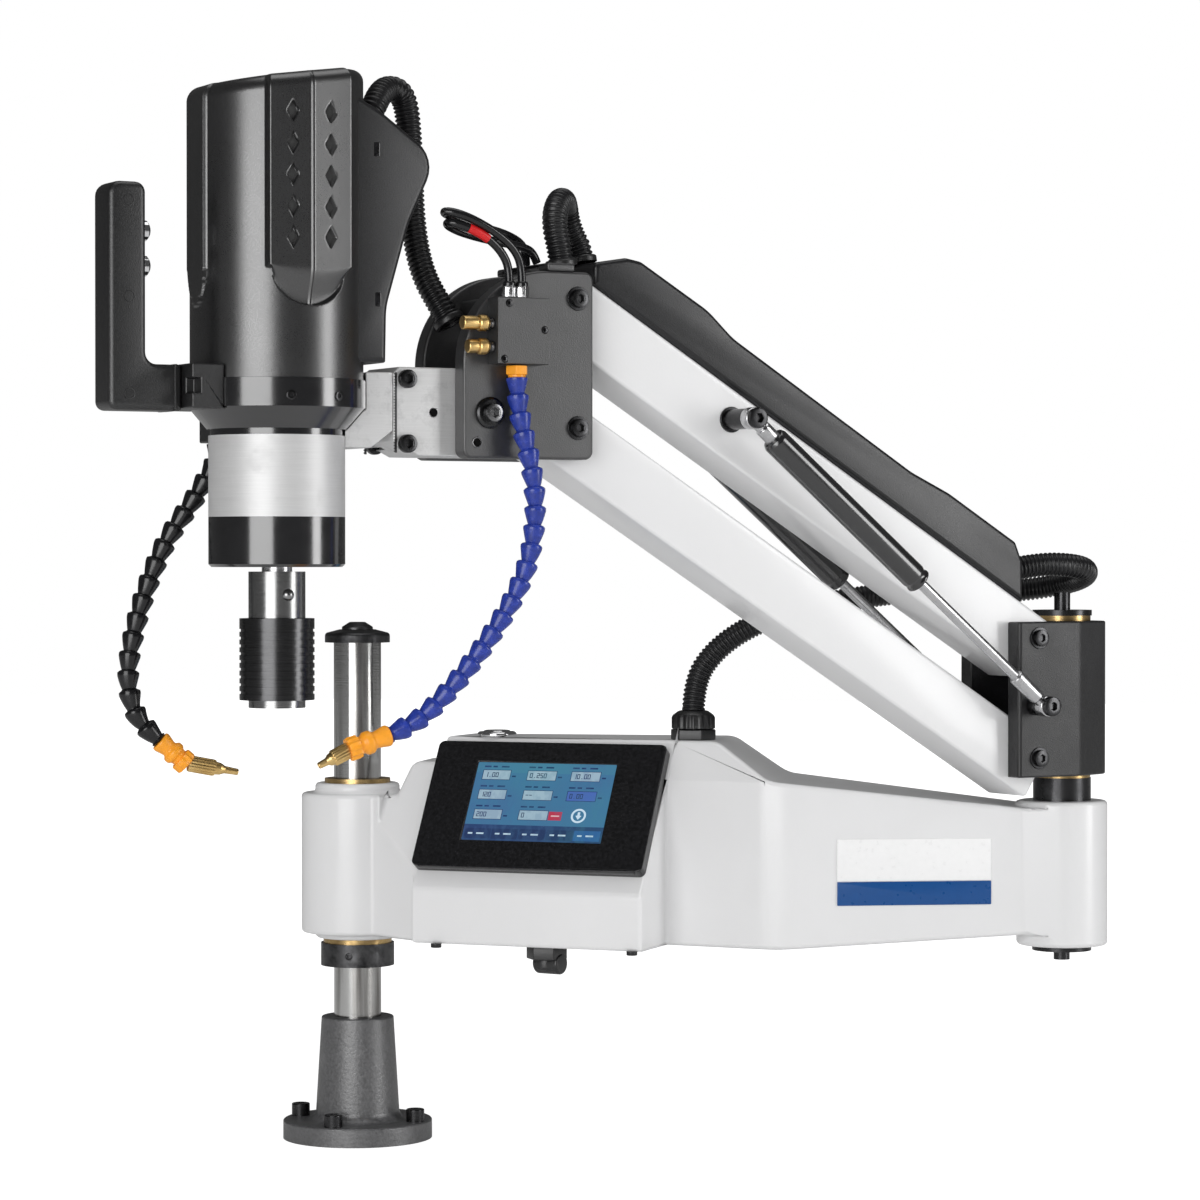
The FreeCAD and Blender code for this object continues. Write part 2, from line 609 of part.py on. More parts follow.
def make_stand():
    pedestal = turned(((0, 0), (FLANGE_R, 0), (FLANGE_R, FLANGE_T, 1.5),
                       (PEDESTAL_R_LOW, FLANGE_T, PEDESTAL_FILLET), (PEDESTAL_R_TOP, PEDESTAL_TOP, 1.5),
                       (0, PEDESTAL_TOP)))
    pedestal = pedestal.cut(cylinder(COLUMN_R, COLUMN_FLOOR, PEDESTAL_TOP + 1))
    bolts = []
    for x, y in bolt_places():
        pedestal = pedestal.cut(cylinder(BASE_BOLT_R + HOLE_GAP, -1, FLANGE_T + 1, x, y))
        top = FLANGE_T + BOLT_HEAD_H
        bolt = turned(((0, -BASE_BOLT_REACH), (BASE_BOLT_R, -BASE_BOLT_REACH), (BASE_BOLT_R, 0),
                       (BASE_SHANK_R, 0), (BASE_SHANK_R, FLANGE_T), (BOLT_HEAD_R, FLANGE_T),
                       (BOLT_HEAD_R, top, 1), (0, top)), x, y)
        bolts.append(bolt.cut(hexagon(2 * BOLT_SOCKET_R, top - BOLT_SOCKET_DEPTH, top + 1, x, y)))
    save("base_pedestal", pedestal)
    save("base_bolts", group(bolts))

    column = cylinder(COLUMN_R, COLUMN_FLOOR, COLUMN_TOP)
    column = column.cut(cylinder(CAP_SCREW_SHANK_R, COLUMN_TOP - CAP_SCREW_DEPTH, COLUMN_TOP + 1))
    save("column", column)
    collar = ring(COLLAR_R, COLUMN_R, COLLAR_Z, COLLAR_TOP)
    middle = COLLAR_Z + COLLAR_H / 2
    screw_hole = bar(COLLAR_SCREW_R, V(0, 0, middle), V(0, -COLLAR_R - 1, middle))
    save("column_collar", collar.cut(screw_hole))
    save("column_thrust_ring", ring(COLLAR_R - THRUST_RING_INSET, COLUMN_R, COLLAR_TOP, RING_TOP))

    cap_top = COLUMN_TOP + CAP_H
    cap = turned(((0, COLUMN_TOP), (CAP_R, COLUMN_TOP), (CAP_R, cap_top - CAP_CROWN, CAP_CROWN),
                  (CAP_SCREW_R + 2, cap_top, 2), (0, cap_top)))
    cap = cap.cut(cylinder(CAP_SCREW_SHANK_R, COLUMN_TOP - 1, cap_top + 1))
    shank_low = COLUMN_TOP - CAP_SCREW_DEPTH + 1
    screw = turned(((0, shank_low), (CAP_SCREW_SHANK_R, shank_low), (CAP_SCREW_SHANK_R, cap_top),
                    (CAP_SCREW_R, cap_top), (CAP_SCREW_R, cap_top + CAP_SCREW_H / 3, 1),
                    (CAP_SCREW_R / 2, cap_top + CAP_SCREW_H, 2), (0, cap_top + CAP_SCREW_H)))
    save("column_cap", group([cap, screw]))


# ---------------------------------------------------------------- base arm
BUSH_R = COLUMN_R + BUSH_WALL


def box_section(inset, low, lean_inset):
    """The control box's side outline: depth from the front face and height above its bottom."""
    rise = PANEL_H * math.sin(math.radians(PANEL_LEAN))
    run = PANEL_H * math.cos(math.radians(PANEL_LEAN))
    sine = math.sin(math.radians(PANEL_LEAN))
    top = BOX_TOP - BOX_BOTTOM - inset
    slope_back = lean_inset / sine
    depth_top = run + slope_back + (top - BOX_FRONT_H - rise) * run / rise
    return ((inset, low), (inset, BOX_FRONT_H - slope_back * rise / run + inset * rise / run),
            (depth_top, top), (BOX_DEPTH - inset, top), (BOX_DEPTH - inset, low))


def along_box(section, left, right):
    """A side outline carried along the box's width, in the box's own frame."""
    wire = outline(section, lambda depth, height: V(left, depth, height))
    solid = Part.Face(wire).extrude(V(right - left, 0, 0))
    solid.Placement = BOX_FRAME
    return solid


def make_base_arm():
    body = plan_prism(((HUB_EAR_X, ARM_BACK_Y - 4), (HUB_EAR_X, -ARM_BACK_Y + 6),
                       (BOX_LEFT + 4, BOX_FRONT + 6, 4),
                       (ARM_NECK_X, ARM_NECK_Y - 37), (ARM_NECK_X, ARM_NECK_Y),
                       (ARM_BEND_X, ARM_BEND_Y, ARM_BEND_R), (ARM_TAIL_X, -ARM_TAIL_Y), (POST_X, -ARM_TAIL_Y),
                       (POST_X, ARM_TAIL_Y), (ARM_TAIL_X, ARM_TAIL_Y), (ARM_BEND_X, ARM_BACK_Y, ARM_BEND_R)),
                      BOX_BOTTOM, BOX_TOP)
    tail = POST_X - 25
    end = POST_X + REAR_HUB_R + 20
    side = side_prism(((0, BOX_BOTTOM), (ARM_BEND_X, BOX_BOTTOM, ARM_BEND_R), (tail, ARM_TAIL_BOTTOM),
                       (end, ARM_TAIL_BOTTOM), (end, ARM_TAIL_TOP), (tail, ARM_TAIL_TOP, 40),
                       (ARM_BEND_X - 8, ARM_BEND_TOP, 30), (ARM_BEND_X - 51, BOX_TOP, 20),
                       (BOX_LEFT + 33, BOX_TOP, 15), (BOX_LEFT + 15, ARM_EAR_TOP, 8),
                       (HUB_R + 5, ARM_EAR_TOP, 10), (HUB_R - 5, HUB_TOP), (0, HUB_TOP)), -150, 150)
    body = body.common(side)
    # the box's leaning front is cut back before the box itself is added
    lean = along_box(box_section(0, -1, PANEL_T), -40, BOX_WIDTH + 3)
    over = BOX_TOP - BOX_BOTTOM + HUB_R
    front_room = along_box(((BOX_FRONT, -1), (BOX_FRONT, over), (BOX_DEPTH, over), (BOX_DEPTH, -1)), -40,
                           BOX_WIDTH + 3)
    body = body.cut(front_room.cut(lean))
    box = along_box(box_section(0, 0, PANEL_T), 0, BOX_WIDTH)
    # the shoulder: a slope along the arm's front face above its crease
    bend = V(ARM_BEND_X - ARM_NECK_X, ARM_BEND_Y - ARM_NECK_Y, 0).normalize()
    inward = UP.cross(bend)
    corner = V(ARM_NECK_X, ARM_NECK_Y, BOX_TOP - SHOULDER_RISE).sub(bend * 4)
    out = corner.sub(inward * 30)
    rise = UP * (SHOULDER_RISE + 1)
    back = corner.add(inward * SHOULDER_RUN).add(rise)
    shoulder = Part.makePolygon([corner, back, out.add(rise), out, corner])
    body = body.cut(Part.Face(shoulder).extrude(bend * SHOULDER_LENGTH))
    front_hub = cylinder(HUB_R, BOX_BOTTOM, HUB_TOP)
    hub_top_ring = cylinder(HUB_RING_R, HUB_TOP, HUB_TOP + HUB_RING_H)
    hub_foot = cylinder(RING_FOOT_R, RING_TOP, BOX_BOTTOM)
    rear_hub = cylinder(REAR_HUB_R, POST_BOTTOM, HUB_TOP, POST_X)
    casting = fuse_all([body, box, front_hub, hub_top_ring, hub_foot, rear_hub])
    casting = casting.cut(cylinder(BUSH_R, RING_TOP - 1, HUB_TOP + HUB_RING_H + 1))
    casting = casting.cut(cylinder(POST_R, POST_BOTTOM - 1, HUB_TOP + 1, POST_X))
    cavity = along_box(box_section(BOX_WALL, BOX_COVER_T, PANEL_T + 2), BOX_WALL + 4, BOX_WIDTH - BOX_WALL)
    front, back = BOX_COVER_EDGE, BOX_DEPTH - BOX_COVER_EDGE
    seat = BOX_COVER_T + 0.01
    cover_seat = along_box(((front, -1), (front, seat), (back, seat), (back, -1)), BOX_COVER_LEFT,
                           BOX_WIDTH - BOX_COVER_EDGE)
    power_hole = cylinder(POWER_R + SHAFT_GAP, BOX_TOP - POWER_DEPTH, BOX_TOP + 1, POWER_X, POWER_Y)
    keep_hub = cylinder(HUB_R, BOX_BOTTOM, BOX_TOP)
    casting = cut_all(casting, [cavity.cut(keep_hub), cover_seat.cut(keep_hub), power_hole])
    save("base_arm_casting", casting)

    cover = along_box(((front, 0), (front, BOX_COVER_T), (back, BOX_COVER_T), (back, 0)), BOX_COVER_LEFT,
                      BOX_WIDTH - BOX_COVER_EDGE)
    save("box_bottom_cover", cover.cut(keep_hub))

    # the panel's frame: x across, y up the slope, z outwards
    up_slope = PANEL_INWARD * math.cos(math.radians(PANEL_LEAN)) + UP * math.sin(math.radians(PANEL_LEAN))
    facing = PANEL_ACROSS.cross(up_slope)
    corner = V(BOX_LEFT, BOX_FRONT, BOX_BOTTOM + BOX_FRONT_H).sub(facing * PANEL_T)
    panel = FreeCAD.Placement(FreeCAD.Matrix(PANEL_ACROSS.x, up_slope.x, facing.x, corner.x,
                                             PANEL_ACROSS.y, up_slope.y, facing.y, corner.y,
                                             PANEL_ACROSS.z, up_slope.z, facing.z, corner.z, 0, 0, 0, 1))
    bezel = plan_prism(((0, 0, BEZEL_R), (BOX_WIDTH, 0, BEZEL_R), (BOX_WIDTH, PANEL_H, BEZEL_R),
                        (0, PANEL_H, BEZEL_R)), 0, PANEL_T)
    opening = cuboid(SCREEN_LEFT, SCREEN_LEFT + SCREEN_W, SCREEN_LOW, SCREEN_LOW + SCREEN_H,
                     PANEL_T - SCREEN_T, PANEL_T + 1)
    bezel = bezel.cut(opening)
    screen = cuboid(SCREEN_LEFT, SCREEN_LEFT + SCREEN_W, SCREEN_LOW, SCREEN_LOW + SCREEN_H,
                    PANEL_T - SCREEN_T, PANEL_T - SCREEN_SINK)
    bezel.Placement = panel
    screen.Placement = panel
    save("hmi_bezel", bezel)
    save("hmi_screen", screen)

    button_low = BOX_TOP - POWER_DEPTH + POWER_TRAVEL + 1
    button = turned(((0, button_low), (POWER_R, button_low), (POWER_R, BOX_TOP + POWER_H, 2),
                     (0, BOX_TOP + POWER_H)), POWER_X, POWER_Y)
    save("power_button", button)

    dome_low = BOX_TOP + GLAND_HEX_H
    dome_r = GLAND_HEX / 2 - 1
    top_gland = fuse_all([hexagon(GLAND_HEX, BOX_TOP, dome_low, GLAND_X, GLAND_Y),
                          turned(((0, dome_low), (dome_r, dome_low), (dome_r, dome_low + GLAND_DOME_H, 4),
                                  (0, dome_low + GLAND_DOME_H)), GLAND_X, GLAND_Y)])
    nut_low = BOX_BOTTOM - ELBOW_HEX_H
    elbow = fuse_all([hexagon(ELBOW_HEX, nut_low, BOX_BOTTOM, ELBOW_X, ELBOW_Y),
                      cylinder(ELBOW_HEX / 2 - 3, BOX_BOTTOM - ELBOW_H, nut_low, ELBOW_X, ELBOW_Y)])
    save("cable_glands", group([top_gland, elbow]))

    drive_right = UNIT_LEFT + BOX_WIDTH * DRIVE_SHARE
    units = []
    for left, right, height in ((UNIT_LEFT, drive_right, DRIVE_H),
                                (drive_right + UNIT_GAP, BOX_WIDTH - UNIT_RIGHT_GAP, SUPPLY_H)):
        near, far = UNIT_REAR_GAP, BOX_DEPTH - UNIT_REAR_GAP
        units.append(along_box(((near, UNIT_LIFT), (near, UNIT_LIFT + height), (far, UNIT_LIFT + height),
                                (far, UNIT_LIFT)), left, right).cut(keep_hub))
    save("control_electronics", group(units))


def make_post():
    spacer_top = HUB_TOP + SPACER_H
    post_top = BLOCK_TOP + POST_RING_H
    post = cylinder(POST_R, POST_BOTTOM, post_top, POST_X)
    holes = [cylinder(POST_BOLT_SHANK_R, POST_BOTTOM - 1, POST_BOTTOM + POST_BOLT_DEPTH, POST_X),
             cylinder(POST_BOLT_SHANK_R, post_top - POST_BOLT_DEPTH, post_top + 1, POST_X)]
    save("rear_post", cut_all(post, holes))

    hub_end = HUB_TOP + HUB_RING_H
    rings = [ring(BUSH_R, COLUMN_R + SHAFT_GAP, RING_TOP, RING_TOP + BUSH_LENGTH),
             ring(BUSH_R, COLUMN_R + SHAFT_GAP, hub_end - BUSH_LENGTH, hub_end),
             ring(POST_WASHER_R - 1, POST_R, spacer_top, BLOCK_BOTTOM, POST_X),
             ring(POST_WASHER_R - 1, POST_R, BLOCK_TOP, post_top, POST_X)]
    flange = ring(BUSH_FLANGE_R, COLUMN_R + SHAFT_GAP, hub_end, hub_end + BUSH_FLANGE_H)
    rings[1] = fuse_all([rings[1], flange])
    save("bronze_bushes", group(rings))

    spacer = ring(SPACER_R, POST_R, HUB_TOP, spacer_top, POST_X)
    pieces = [spacer]
    for face, outward, head_h in ((post_top, 1, POST_BOLT_H), (POST_BOTTOM, -1, POST_LOW_BOLT_H)):
        washer_end = face + outward * POST_WASHER_H
        head_end = washer_end + outward * head_h
        washer = ring(POST_WASHER_R, POST_BOLT_SHANK_R, min(face, washer_end), max(face, washer_end), POST_X)
        shank_end = face - outward * (POST_BOLT_DEPTH - 2)
        shank = cylinder(POST_BOLT_SHANK_R, min(shank_end, washer_end), max(shank_end, washer_end), POST_X)
        head = cylinder(POST_BOLT_R, min(washer_end, head_end), max(washer_end, head_end), POST_X)
        pieces.extend([washer, fuse_all([shank, head])])
    save("post_fasteners", group(pieces))


# ---------------------------------------------------------------- rear block
PIVOT_LOW_Z = PIVOT_TOP_Z - PIVOT_SPACING


def headed_pin(u, z, reach, head_r, head_h, radius):
    """A pin across the arm with a head at each end."""
    return fuse_all([bar(radius, V(u, -reach, z), V(u, reach, z)),
                     bar(head_r, V(u, reach, z), V(u, reach + head_h, z)),
                     bar(head_r, V(u, -reach - head_h, z), V(u, -reach, z))])


def side_stud(u, z, face):
    """A stud on the near side: boss from the face, pin through the spring's eye, head outside."""
    eye_gap = SPRING_EYE_HALF + SLIDE_GAP
    eye_end = SPRING_V + eye_gap
    return fuse_all([bar(STUD_R, V(u, face, z), V(u, eye_end + 0.5, z)),
                     bar(STUD_HEAD_R, V(u, eye_end, z), V(u, eye_end + STUD_HEAD_H, z)),
                     bar(STUD_BOSS_R, V(u, face, z), V(u, SPRING_V - eye_gap, z))])


def make_rear_block():
    low = BLOCK_BOTTOM + SEAT_GAP
    high = BLOCK_TOP - SEAT_GAP
    block = plan_prism(((BLOCK_FRONT, -FORK_HALF, 3), (BLOCK_FRONT, FORK_HALF, 3),
                        (BLOCK_SHOULDER_U, FORK_HALF, 14), (BLOCK_REAR, BLOCK_REAR_HALF, 20),
                        (BLOCK_REAR, -BLOCK_REAR_HALF, 20), (BLOCK_SHOULDER_U, -FORK_HALF, 14)), low, high)
    pocket = cuboid(POCKET_U, BLOCK_FRONT + 1, -FORK_GAP, FORK_GAP, low - 1, high + 1)
    bore = cylinder(POST_R + SHAFT_GAP, low - 1, high + 1)
    pins = [bar(PIN_R, V(PIVOT_U, -FORK_HALF - 1, z), V(PIVOT_U, FORK_HALF + 1, z))
            for z in (PIVOT_TOP_Z, PIVOT_LOW_Z)]
    save("rear_block", in_arm_frame(cut_all(block, [pocket, bore] + pins)))

    pieces = [headed_pin(PIVOT_U, z, FORK_HALF, PIN_HEAD_R, PIN_HEAD_H, PIN_R)
              for z in (PIVOT_TOP_Z, PIVOT_LOW_Z)]
    stud = side_stud(SPRING_P_U, SPRING_P_Z, FORK_HALF)
    pieces.extend([stud, mirrored_v(stud)])
    save("rear_block_pins", in_arm_frame(group(pieces)))

    before = V(*ROUTE_CONDUIT_BASE[-1])
    after = V(*ROUTE_CONDUIT_REAR[0])
    run = after.sub(before).normalize() * CLIP_GAP
    middle = before.add(after) * 0.5
    shelf_low = middle.z - CLIP_R - CLIP_STRAP
    u_low = middle.x - CLIP_HALF
    u_high = middle.x + CLIP_HALF
    clip = fuse_all([bar(CLIP_R, before.add(run), after.sub(run)),
                     cuboid(u_low, u_high, middle.y, -FORK_HALF, shelf_low, shelf_low + 2 * CLIP_STRAP),
                     cuboid(u_low, u_high, -FORK_HALF - CLIP_STRAP, -FORK_HALF, high - CLIP_STRAP_H,
                            shelf_low + CLIP_STRAP)])
    save("conduit_clip", in_arm_frame(clip))


# ---------------------------------------------------------------- arms
def make_beam(low, high, pivot_z):
    front = ARM_LENGTH + ARM_PAST_FRONT
    beam = side_prism(((-ARM_PAST_REAR, low, ARM_TAIL_R), (front, low, ARM_NOSE_R / 2),
                       (front, high, ARM_NOSE_R), (-ARM_PAST_REAR, high, ARM_TAIL_R)), -ARM_HALF, ARM_HALF)
    over = ARM_HALF + 1
    bores = [bar(PIN_BUSH_R, V(along, -over, 0), V(along, over, 0)) for along in (0, ARM_LENGTH)]
    return on_slope(cut_all(beam, bores), pivot_z)


def make_bushes(pivot_z):
    bushes = []
    for along in (0, ARM_LENGTH):
        bush = bar(PIN_BUSH_R, V(along, -ARM_HALF, 0), V(along, ARM_HALF, 0))
        bore = bar(PIN_R + SHAFT_GAP, V(along, -ARM_HALF - 1, 0), V(along, ARM_HALF + 1, 0))
        bushes.append(on_slope(bush.cut(bore), pivot_z))
    return group(bushes)


def cover_profile(wall):
    """The folded cover's side outline along the upper beam, moved inwards by a wall."""
    foot = UPPER_HIGH - (1 if wall else 0)
    rear, front = COVER_REAR + 1.6 * wall, ARM_LENGTH - COVER_FRONT_GAP - 1.6 * wall
    waist, bend = COVER_WAIST - wall, COVER_BEND_R
    return ((rear, foot), (rear + 16.5, 47 - wall), (rear + 29.2, COVER_REAR_HUMP - wall),
            (120, COVER_REAR_HUMP - 0.4 - wall, bend), (157, waist - 0.3, bend), (front - 118, waist, bend),
            (front - 90, COVER_FRONT_HUMP - wall, bend), (front - 24.1, COVER_FRONT_HUMP - 0.9 - wall, 10),
            (front - 12.7, COVER_WAIST - wall, 8), (front + 7.7, 34.5, 5), (front, foot))


def make_arms():
    save("upper_arm_beam", in_arm_frame(make_beam(UPPER_LOW, UPPER_HIGH, PIVOT_TOP_Z)))
    save("lower_arm_beam", in_arm_frame(make_beam(LOWER_LOW, LOWER_HIGH, PIVOT_LOW_Z)))
    save("upper_arm_bushes", in_arm_frame(make_bushes(PIVOT_TOP_Z)))
    save("lower_arm_bushes", in_arm_frame(make_bushes(PIVOT_LOW_Z)))

    cover = side_prism(cover_profile(0), -COVER_HALF, COVER_HALF)
    inner_half = COVER_HALF - COVER_WALL
    cover = cover.cut(side_prism(cover_profile(COVER_WALL), -inner_half, inner_half))
    save("upper_arm_cover", in_arm_frame(on_slope(cover, PIVOT_TOP_Z)))

    stud = side_stud(SPRING_Q_ALONG, 0, ARM_HALF)
    save("spring_studs_upper", in_arm_frame(on_slope(group([stud, mirrored_v(stud)]), PIVOT_TOP_Z)))


# ---------------------------------------------------------------- gas springs
def spring_ends():
    """Lower and upper pin centres of the near spring at rest, in the arm's frame."""
    low = V(SPRING_P_U, SPRING_V, SPRING_P_Z)
    high = V(PIVOT_U + SPRING_Q_ALONG * math.cos(ARM_RISE), SPRING_V,
             PIVOT_TOP_Z + SPRING_Q_ALONG * math.sin(ARM_RISE))
    return low, high


def spring_eye(centre):
    eye = bar(SPRING_EYE_R, centre.sub(V(0, SPRING_EYE_HALF, 0)), centre.add(V(0, SPRING_EYE_HALF, 0)))
    reach = V(0, SPRING_EYE_HALF + 4, 0)
    return eye, bar(STUD_R + SHAFT_GAP, centre.sub(reach), centre.add(reach))


def make_springs():
    low, high = spring_ends()
    line = high.sub(low).normalize()
    eye, hole = spring_eye(low)
    shank_r = SPRING_EYE_HALF - 0.2
    shank_start = SPRING_EYE_R / 2
    rod = fuse_all([eye, bar(shank_r, low.add(line * shank_start), low.add(line * SPRING_EYE_NECK)),
                    bar(SPRING_NECK_R, low.add(line * SPRING_EYE_NECK), low.add(line * SPRING_ROD_NECK)),
                    bar(SPRING_ROD_R, low.add(line * SPRING_ROD_NECK), low.add(line * SPRING_ROD_END))])
    rod = rod.cut(hole)
    eye, hole = spring_eye(high)
    top = high.sub(line * SPRING_TUBE_NEAR_Q)
    end = high.sub(line * SPRING_TUBE_FAR_Q)
    tube = fuse_all([eye, bar(shank_r, high.sub(line * shank_start), high.sub(line * SPRING_EYE_NECK)),
                     bar(SPRING_NECK_R, high.sub(line * SPRING_EYE_NECK), top), bar(SPRING_TUBE_R, top, end)])
    bore = bar(SPRING_TUBE_BORE, top.sub(line * SPRING_TUBE_HEAD), end.sub(line * 2))
    tube = cut_all(tube, [hole, bore])
    for name, shape in (("spring_rod", rod), ("spring_tube", tube)):
        save(f"{name}_near", in_arm_frame(shape))
        save(f"{name}_far", in_arm_frame(mirrored_v(shape)))


# ---------------------------------------------------------------- front bracket
def make_bracket():
    corners = ((PLATE_REAR, PLATE_LOW, PLATE_SMALL_R), (PLATE_FRONT, PLATE_LOW, PLATE_SMALL_R),
               (PLATE_FRONT, PLATE_HIGH, PLATE_BIG_R), (PLATE_REAR, PLATE_HIGH, PLATE_SMALL_R))
    near = side_prism(corners, FORK_GAP, FORK_HALF)
    pivots = ((FRONT_U, FRONT_Z), (FRONT_U, FRONT_Z - PIVOT_SPACING))
    for u, z in pivots:
        near = near.cut(bar(PIN_R, V(u, 0, z), V(u, FORK_HALF + 1, z)))
    cross_hole = bar(CROSS_BOLT_R, V(CROSS_BOLT_U, -FORK_HALF - CROSS_WASHER_H - 1, CROSS_BOLT_Z),
                     V(CROSS_BOLT_U, FORK_HALF + CROSS_WASHER_H + 1, CROSS_BOLT_Z))
    near = near.cut(cross_hole)
    bridge_u = PLATE_REAR + BRIDGE_INSET
    bridge_end = bridge_u + BRIDGE_LENGTH
    bridge = cuboid(bridge_u, bridge_end, -FORK_HALF, FORK_HALF, PLATE_HIGH, PLATE_HIGH + BRIDGE_H)
    bridge = bridge.cut(cuboid(bridge_u - 1, bridge_end + 1, -FORK_GAP, FORK_GAP, PLATE_HIGH - 1,
                               PLATE_HIGH + BRIDGE_H / 2))
    web_u = PLATE_REAR + WEB_INSET
    web_high = PLATE_HIGH - WEB_DROP
    web = cuboid(web_u, web_u + WEB_LENGTH, -FORK_GAP, FORK_GAP, web_high - WEB_H, web_high)
    save("front_plates", in_arm_frame(group([near, mirrored_v(near), bridge, web])))

    face = COUPLING_SEAM_U - SEAT_GAP
    block = side_prism(((COUPLING_U, COUPLING_LOW), (face - 2 * COUPLING_CHAMFER, COUPLING_LOW),
                        (face, COUPLING_LOW + COUPLING_CHAMFER), (face, COUPLING_HIGH - COUPLING_TOP_CHAMFER),
                        (face - COUPLING_TOP_CHAMFER, COUPLING_HIGH), (COUPLING_U, COUPLING_HIGH)),
                       -FORK_GAP, FORK_GAP)
    block = block.cut(cross_hole)
    index_u = COUPLING_SEAM_U - INDEX_HOLE_BACK
    index_hole = bar(INDEX_HOLE_R, V(index_u, FORK_GAP - INDEX_HOLE_DEPTH, CROSS_BOLT_Z),
                     V(index_u, FORK_GAP + 1, CROSS_BOLT_Z))
    shank_r = BLOCK_SCREW_R / 2
    screws = []
    for z in BLOCK_SCREW_Z:
        seat = V(BLOCK_SCREW_U, FORK_GAP, z)
        shank = bar(shank_r, seat.sub(V(0, BLOCK_SCREW_DEPTH, 0)), seat)
        block = block.cut(shank)
        block = block.cut(mirrored_v(shank))
        head = bar(BLOCK_SCREW_R, seat, seat.add(V(0, BLOCK_SCREW_H, 0)))
        screw = fuse_all([shank, head])
        screws.extend([screw, mirrored_v(screw)])
    save("coupling_block", in_arm_frame(block.cut(index_hole)))

    pins = [headed_pin(u, z, FORK_HALF, PIN_HEAD_R, PIN_HEAD_H, PIN_R) for u, z in pivots]
    washer = bar(CROSS_WASHER_R, V(CROSS_BOLT_U, FORK_HALF, CROSS_BOLT_Z),
                 V(CROSS_BOLT_U, FORK_HALF + CROSS_WASHER_H, CROSS_BOLT_Z))
    washer = washer.cut(cross_hole)
    cross = headed_pin(CROSS_BOLT_U, CROSS_BOLT_Z, FORK_HALF + CROSS_WASHER_H, CROSS_HEAD_R, CROSS_HEAD_H,
                       CROSS_BOLT_R)
    save("bracket_fasteners", in_arm_frame(group(pins + screws + [washer, mirrored_v(washer), cross])))


def make_valve():
    middle_v = FORK_HALF + VALVE_T / 2
    block = cuboid(VALVE_REAR, VALVE_FRONT, FORK_HALF, FORK_HALF + VALVE_T, VALVE_LOW, VALVE_HIGH)
    for z, _ in (KNOB_TOP, KNOB_LOW):
        block = block.cut(bar(KNOB_STEM_R + SHAFT_GAP, V(VALVE_FRONT - KNOB_STEM_DEPTH - 1, middle_v, z),
                              V(VALVE_FRONT + 1, middle_v, z)))
    for u, z in VALVE_SCREWS:
        face = FORK_HALF + VALVE_T
        block = block.cut(bar(VALVE_SCREW_R, V(u, face - VALVE_SCREW_DEPTH, z), V(u, face + 1, z)))
    save("valve_block", in_arm_frame(block))

    for name, (z, reach) in (("needle_knob_upper", KNOB_TOP), ("needle_knob_lower", KNOB_LOW)):
        grip = VALVE_FRONT + KNOB_GRIP_START
        stem = bar(KNOB_STEM_R, V(VALVE_FRONT - KNOB_STEM_DEPTH, middle_v, z), V(grip - 5, middle_v, z))
        collar = bar(KNOB_COLLAR_R, V(grip - 8, middle_v, z), V(grip - 2, middle_v, z))
        neck = bar(KNOB_NECK_R, V(grip - 3, middle_v, z), V(grip + 1, middle_v, z))
        knob = bar(KNOB_R, V(grip, middle_v, z), V(VALVE_FRONT + reach, middle_v, z))
        save(name, in_arm_frame(fuse_all([stem, collar, neck, knob])))

    fittings = [cylinder(PUSH_FITTING_R, VALVE_HIGH, VALVE_HIGH + PUSH_FITTING_H, u, middle_v)
                for u in PUSH_FITTING_U]
    hose_top = VALVE_LOW - 1.0
    hose_low = hose_top - HOSE_FITTING_H + 1
    hex_nut = hexagon(HOSE_FITTING_HEX, hose_low, hose_top, HOSE_FITTING_U, middle_v)
    neck = cylinder(HOSE_FITTING_NECK_R, hose_top, VALVE_LOW, HOSE_FITTING_U, middle_v)
    fittings.append(fuse_all([hex_nut, neck]))
    save("valve_fittings", in_arm_frame(group(fittings)))
    tubes = [cord_tube(name, route, AIR_TUBE_R)
             for name, route in (("air tube a", ROUTE_TUBE_A), ("air tube b", ROUTE_TUBE_B))]
    save("air_tubes", in_arm_frame(group(tubes)))


def make_nozzle(corners):
    """Connector, nut and pointed nozzle on the end of a segmented hose."""
    start, bend, tip = (V(*corner) for corner in corners)
    first = bend.sub(start)
    second = tip.sub(bend)
    connector = bar(HOSE_R + 1.5, start, start.add(first * 0.86))
    nut = bar(HOSE_R + 1.0, start.add(first * 0.86), bend)
    nozzle = Part.makeCone(HOSE_R, HOSE_TIP_R - 1.5, second.Length, bend.add(first * 0.12), second)
    bore = bar(NOZZLE_BORE_R, tip.sub(second * 0.4), tip.add(second * 0.4))
    return group([connector, nut, nozzle.cut(bore)])


# ---------------------------------------------------------------- head
def head_cylinder(radius, z_low, z_high):
    return cylinder(radius, z_low, z_high, AXIS_U)


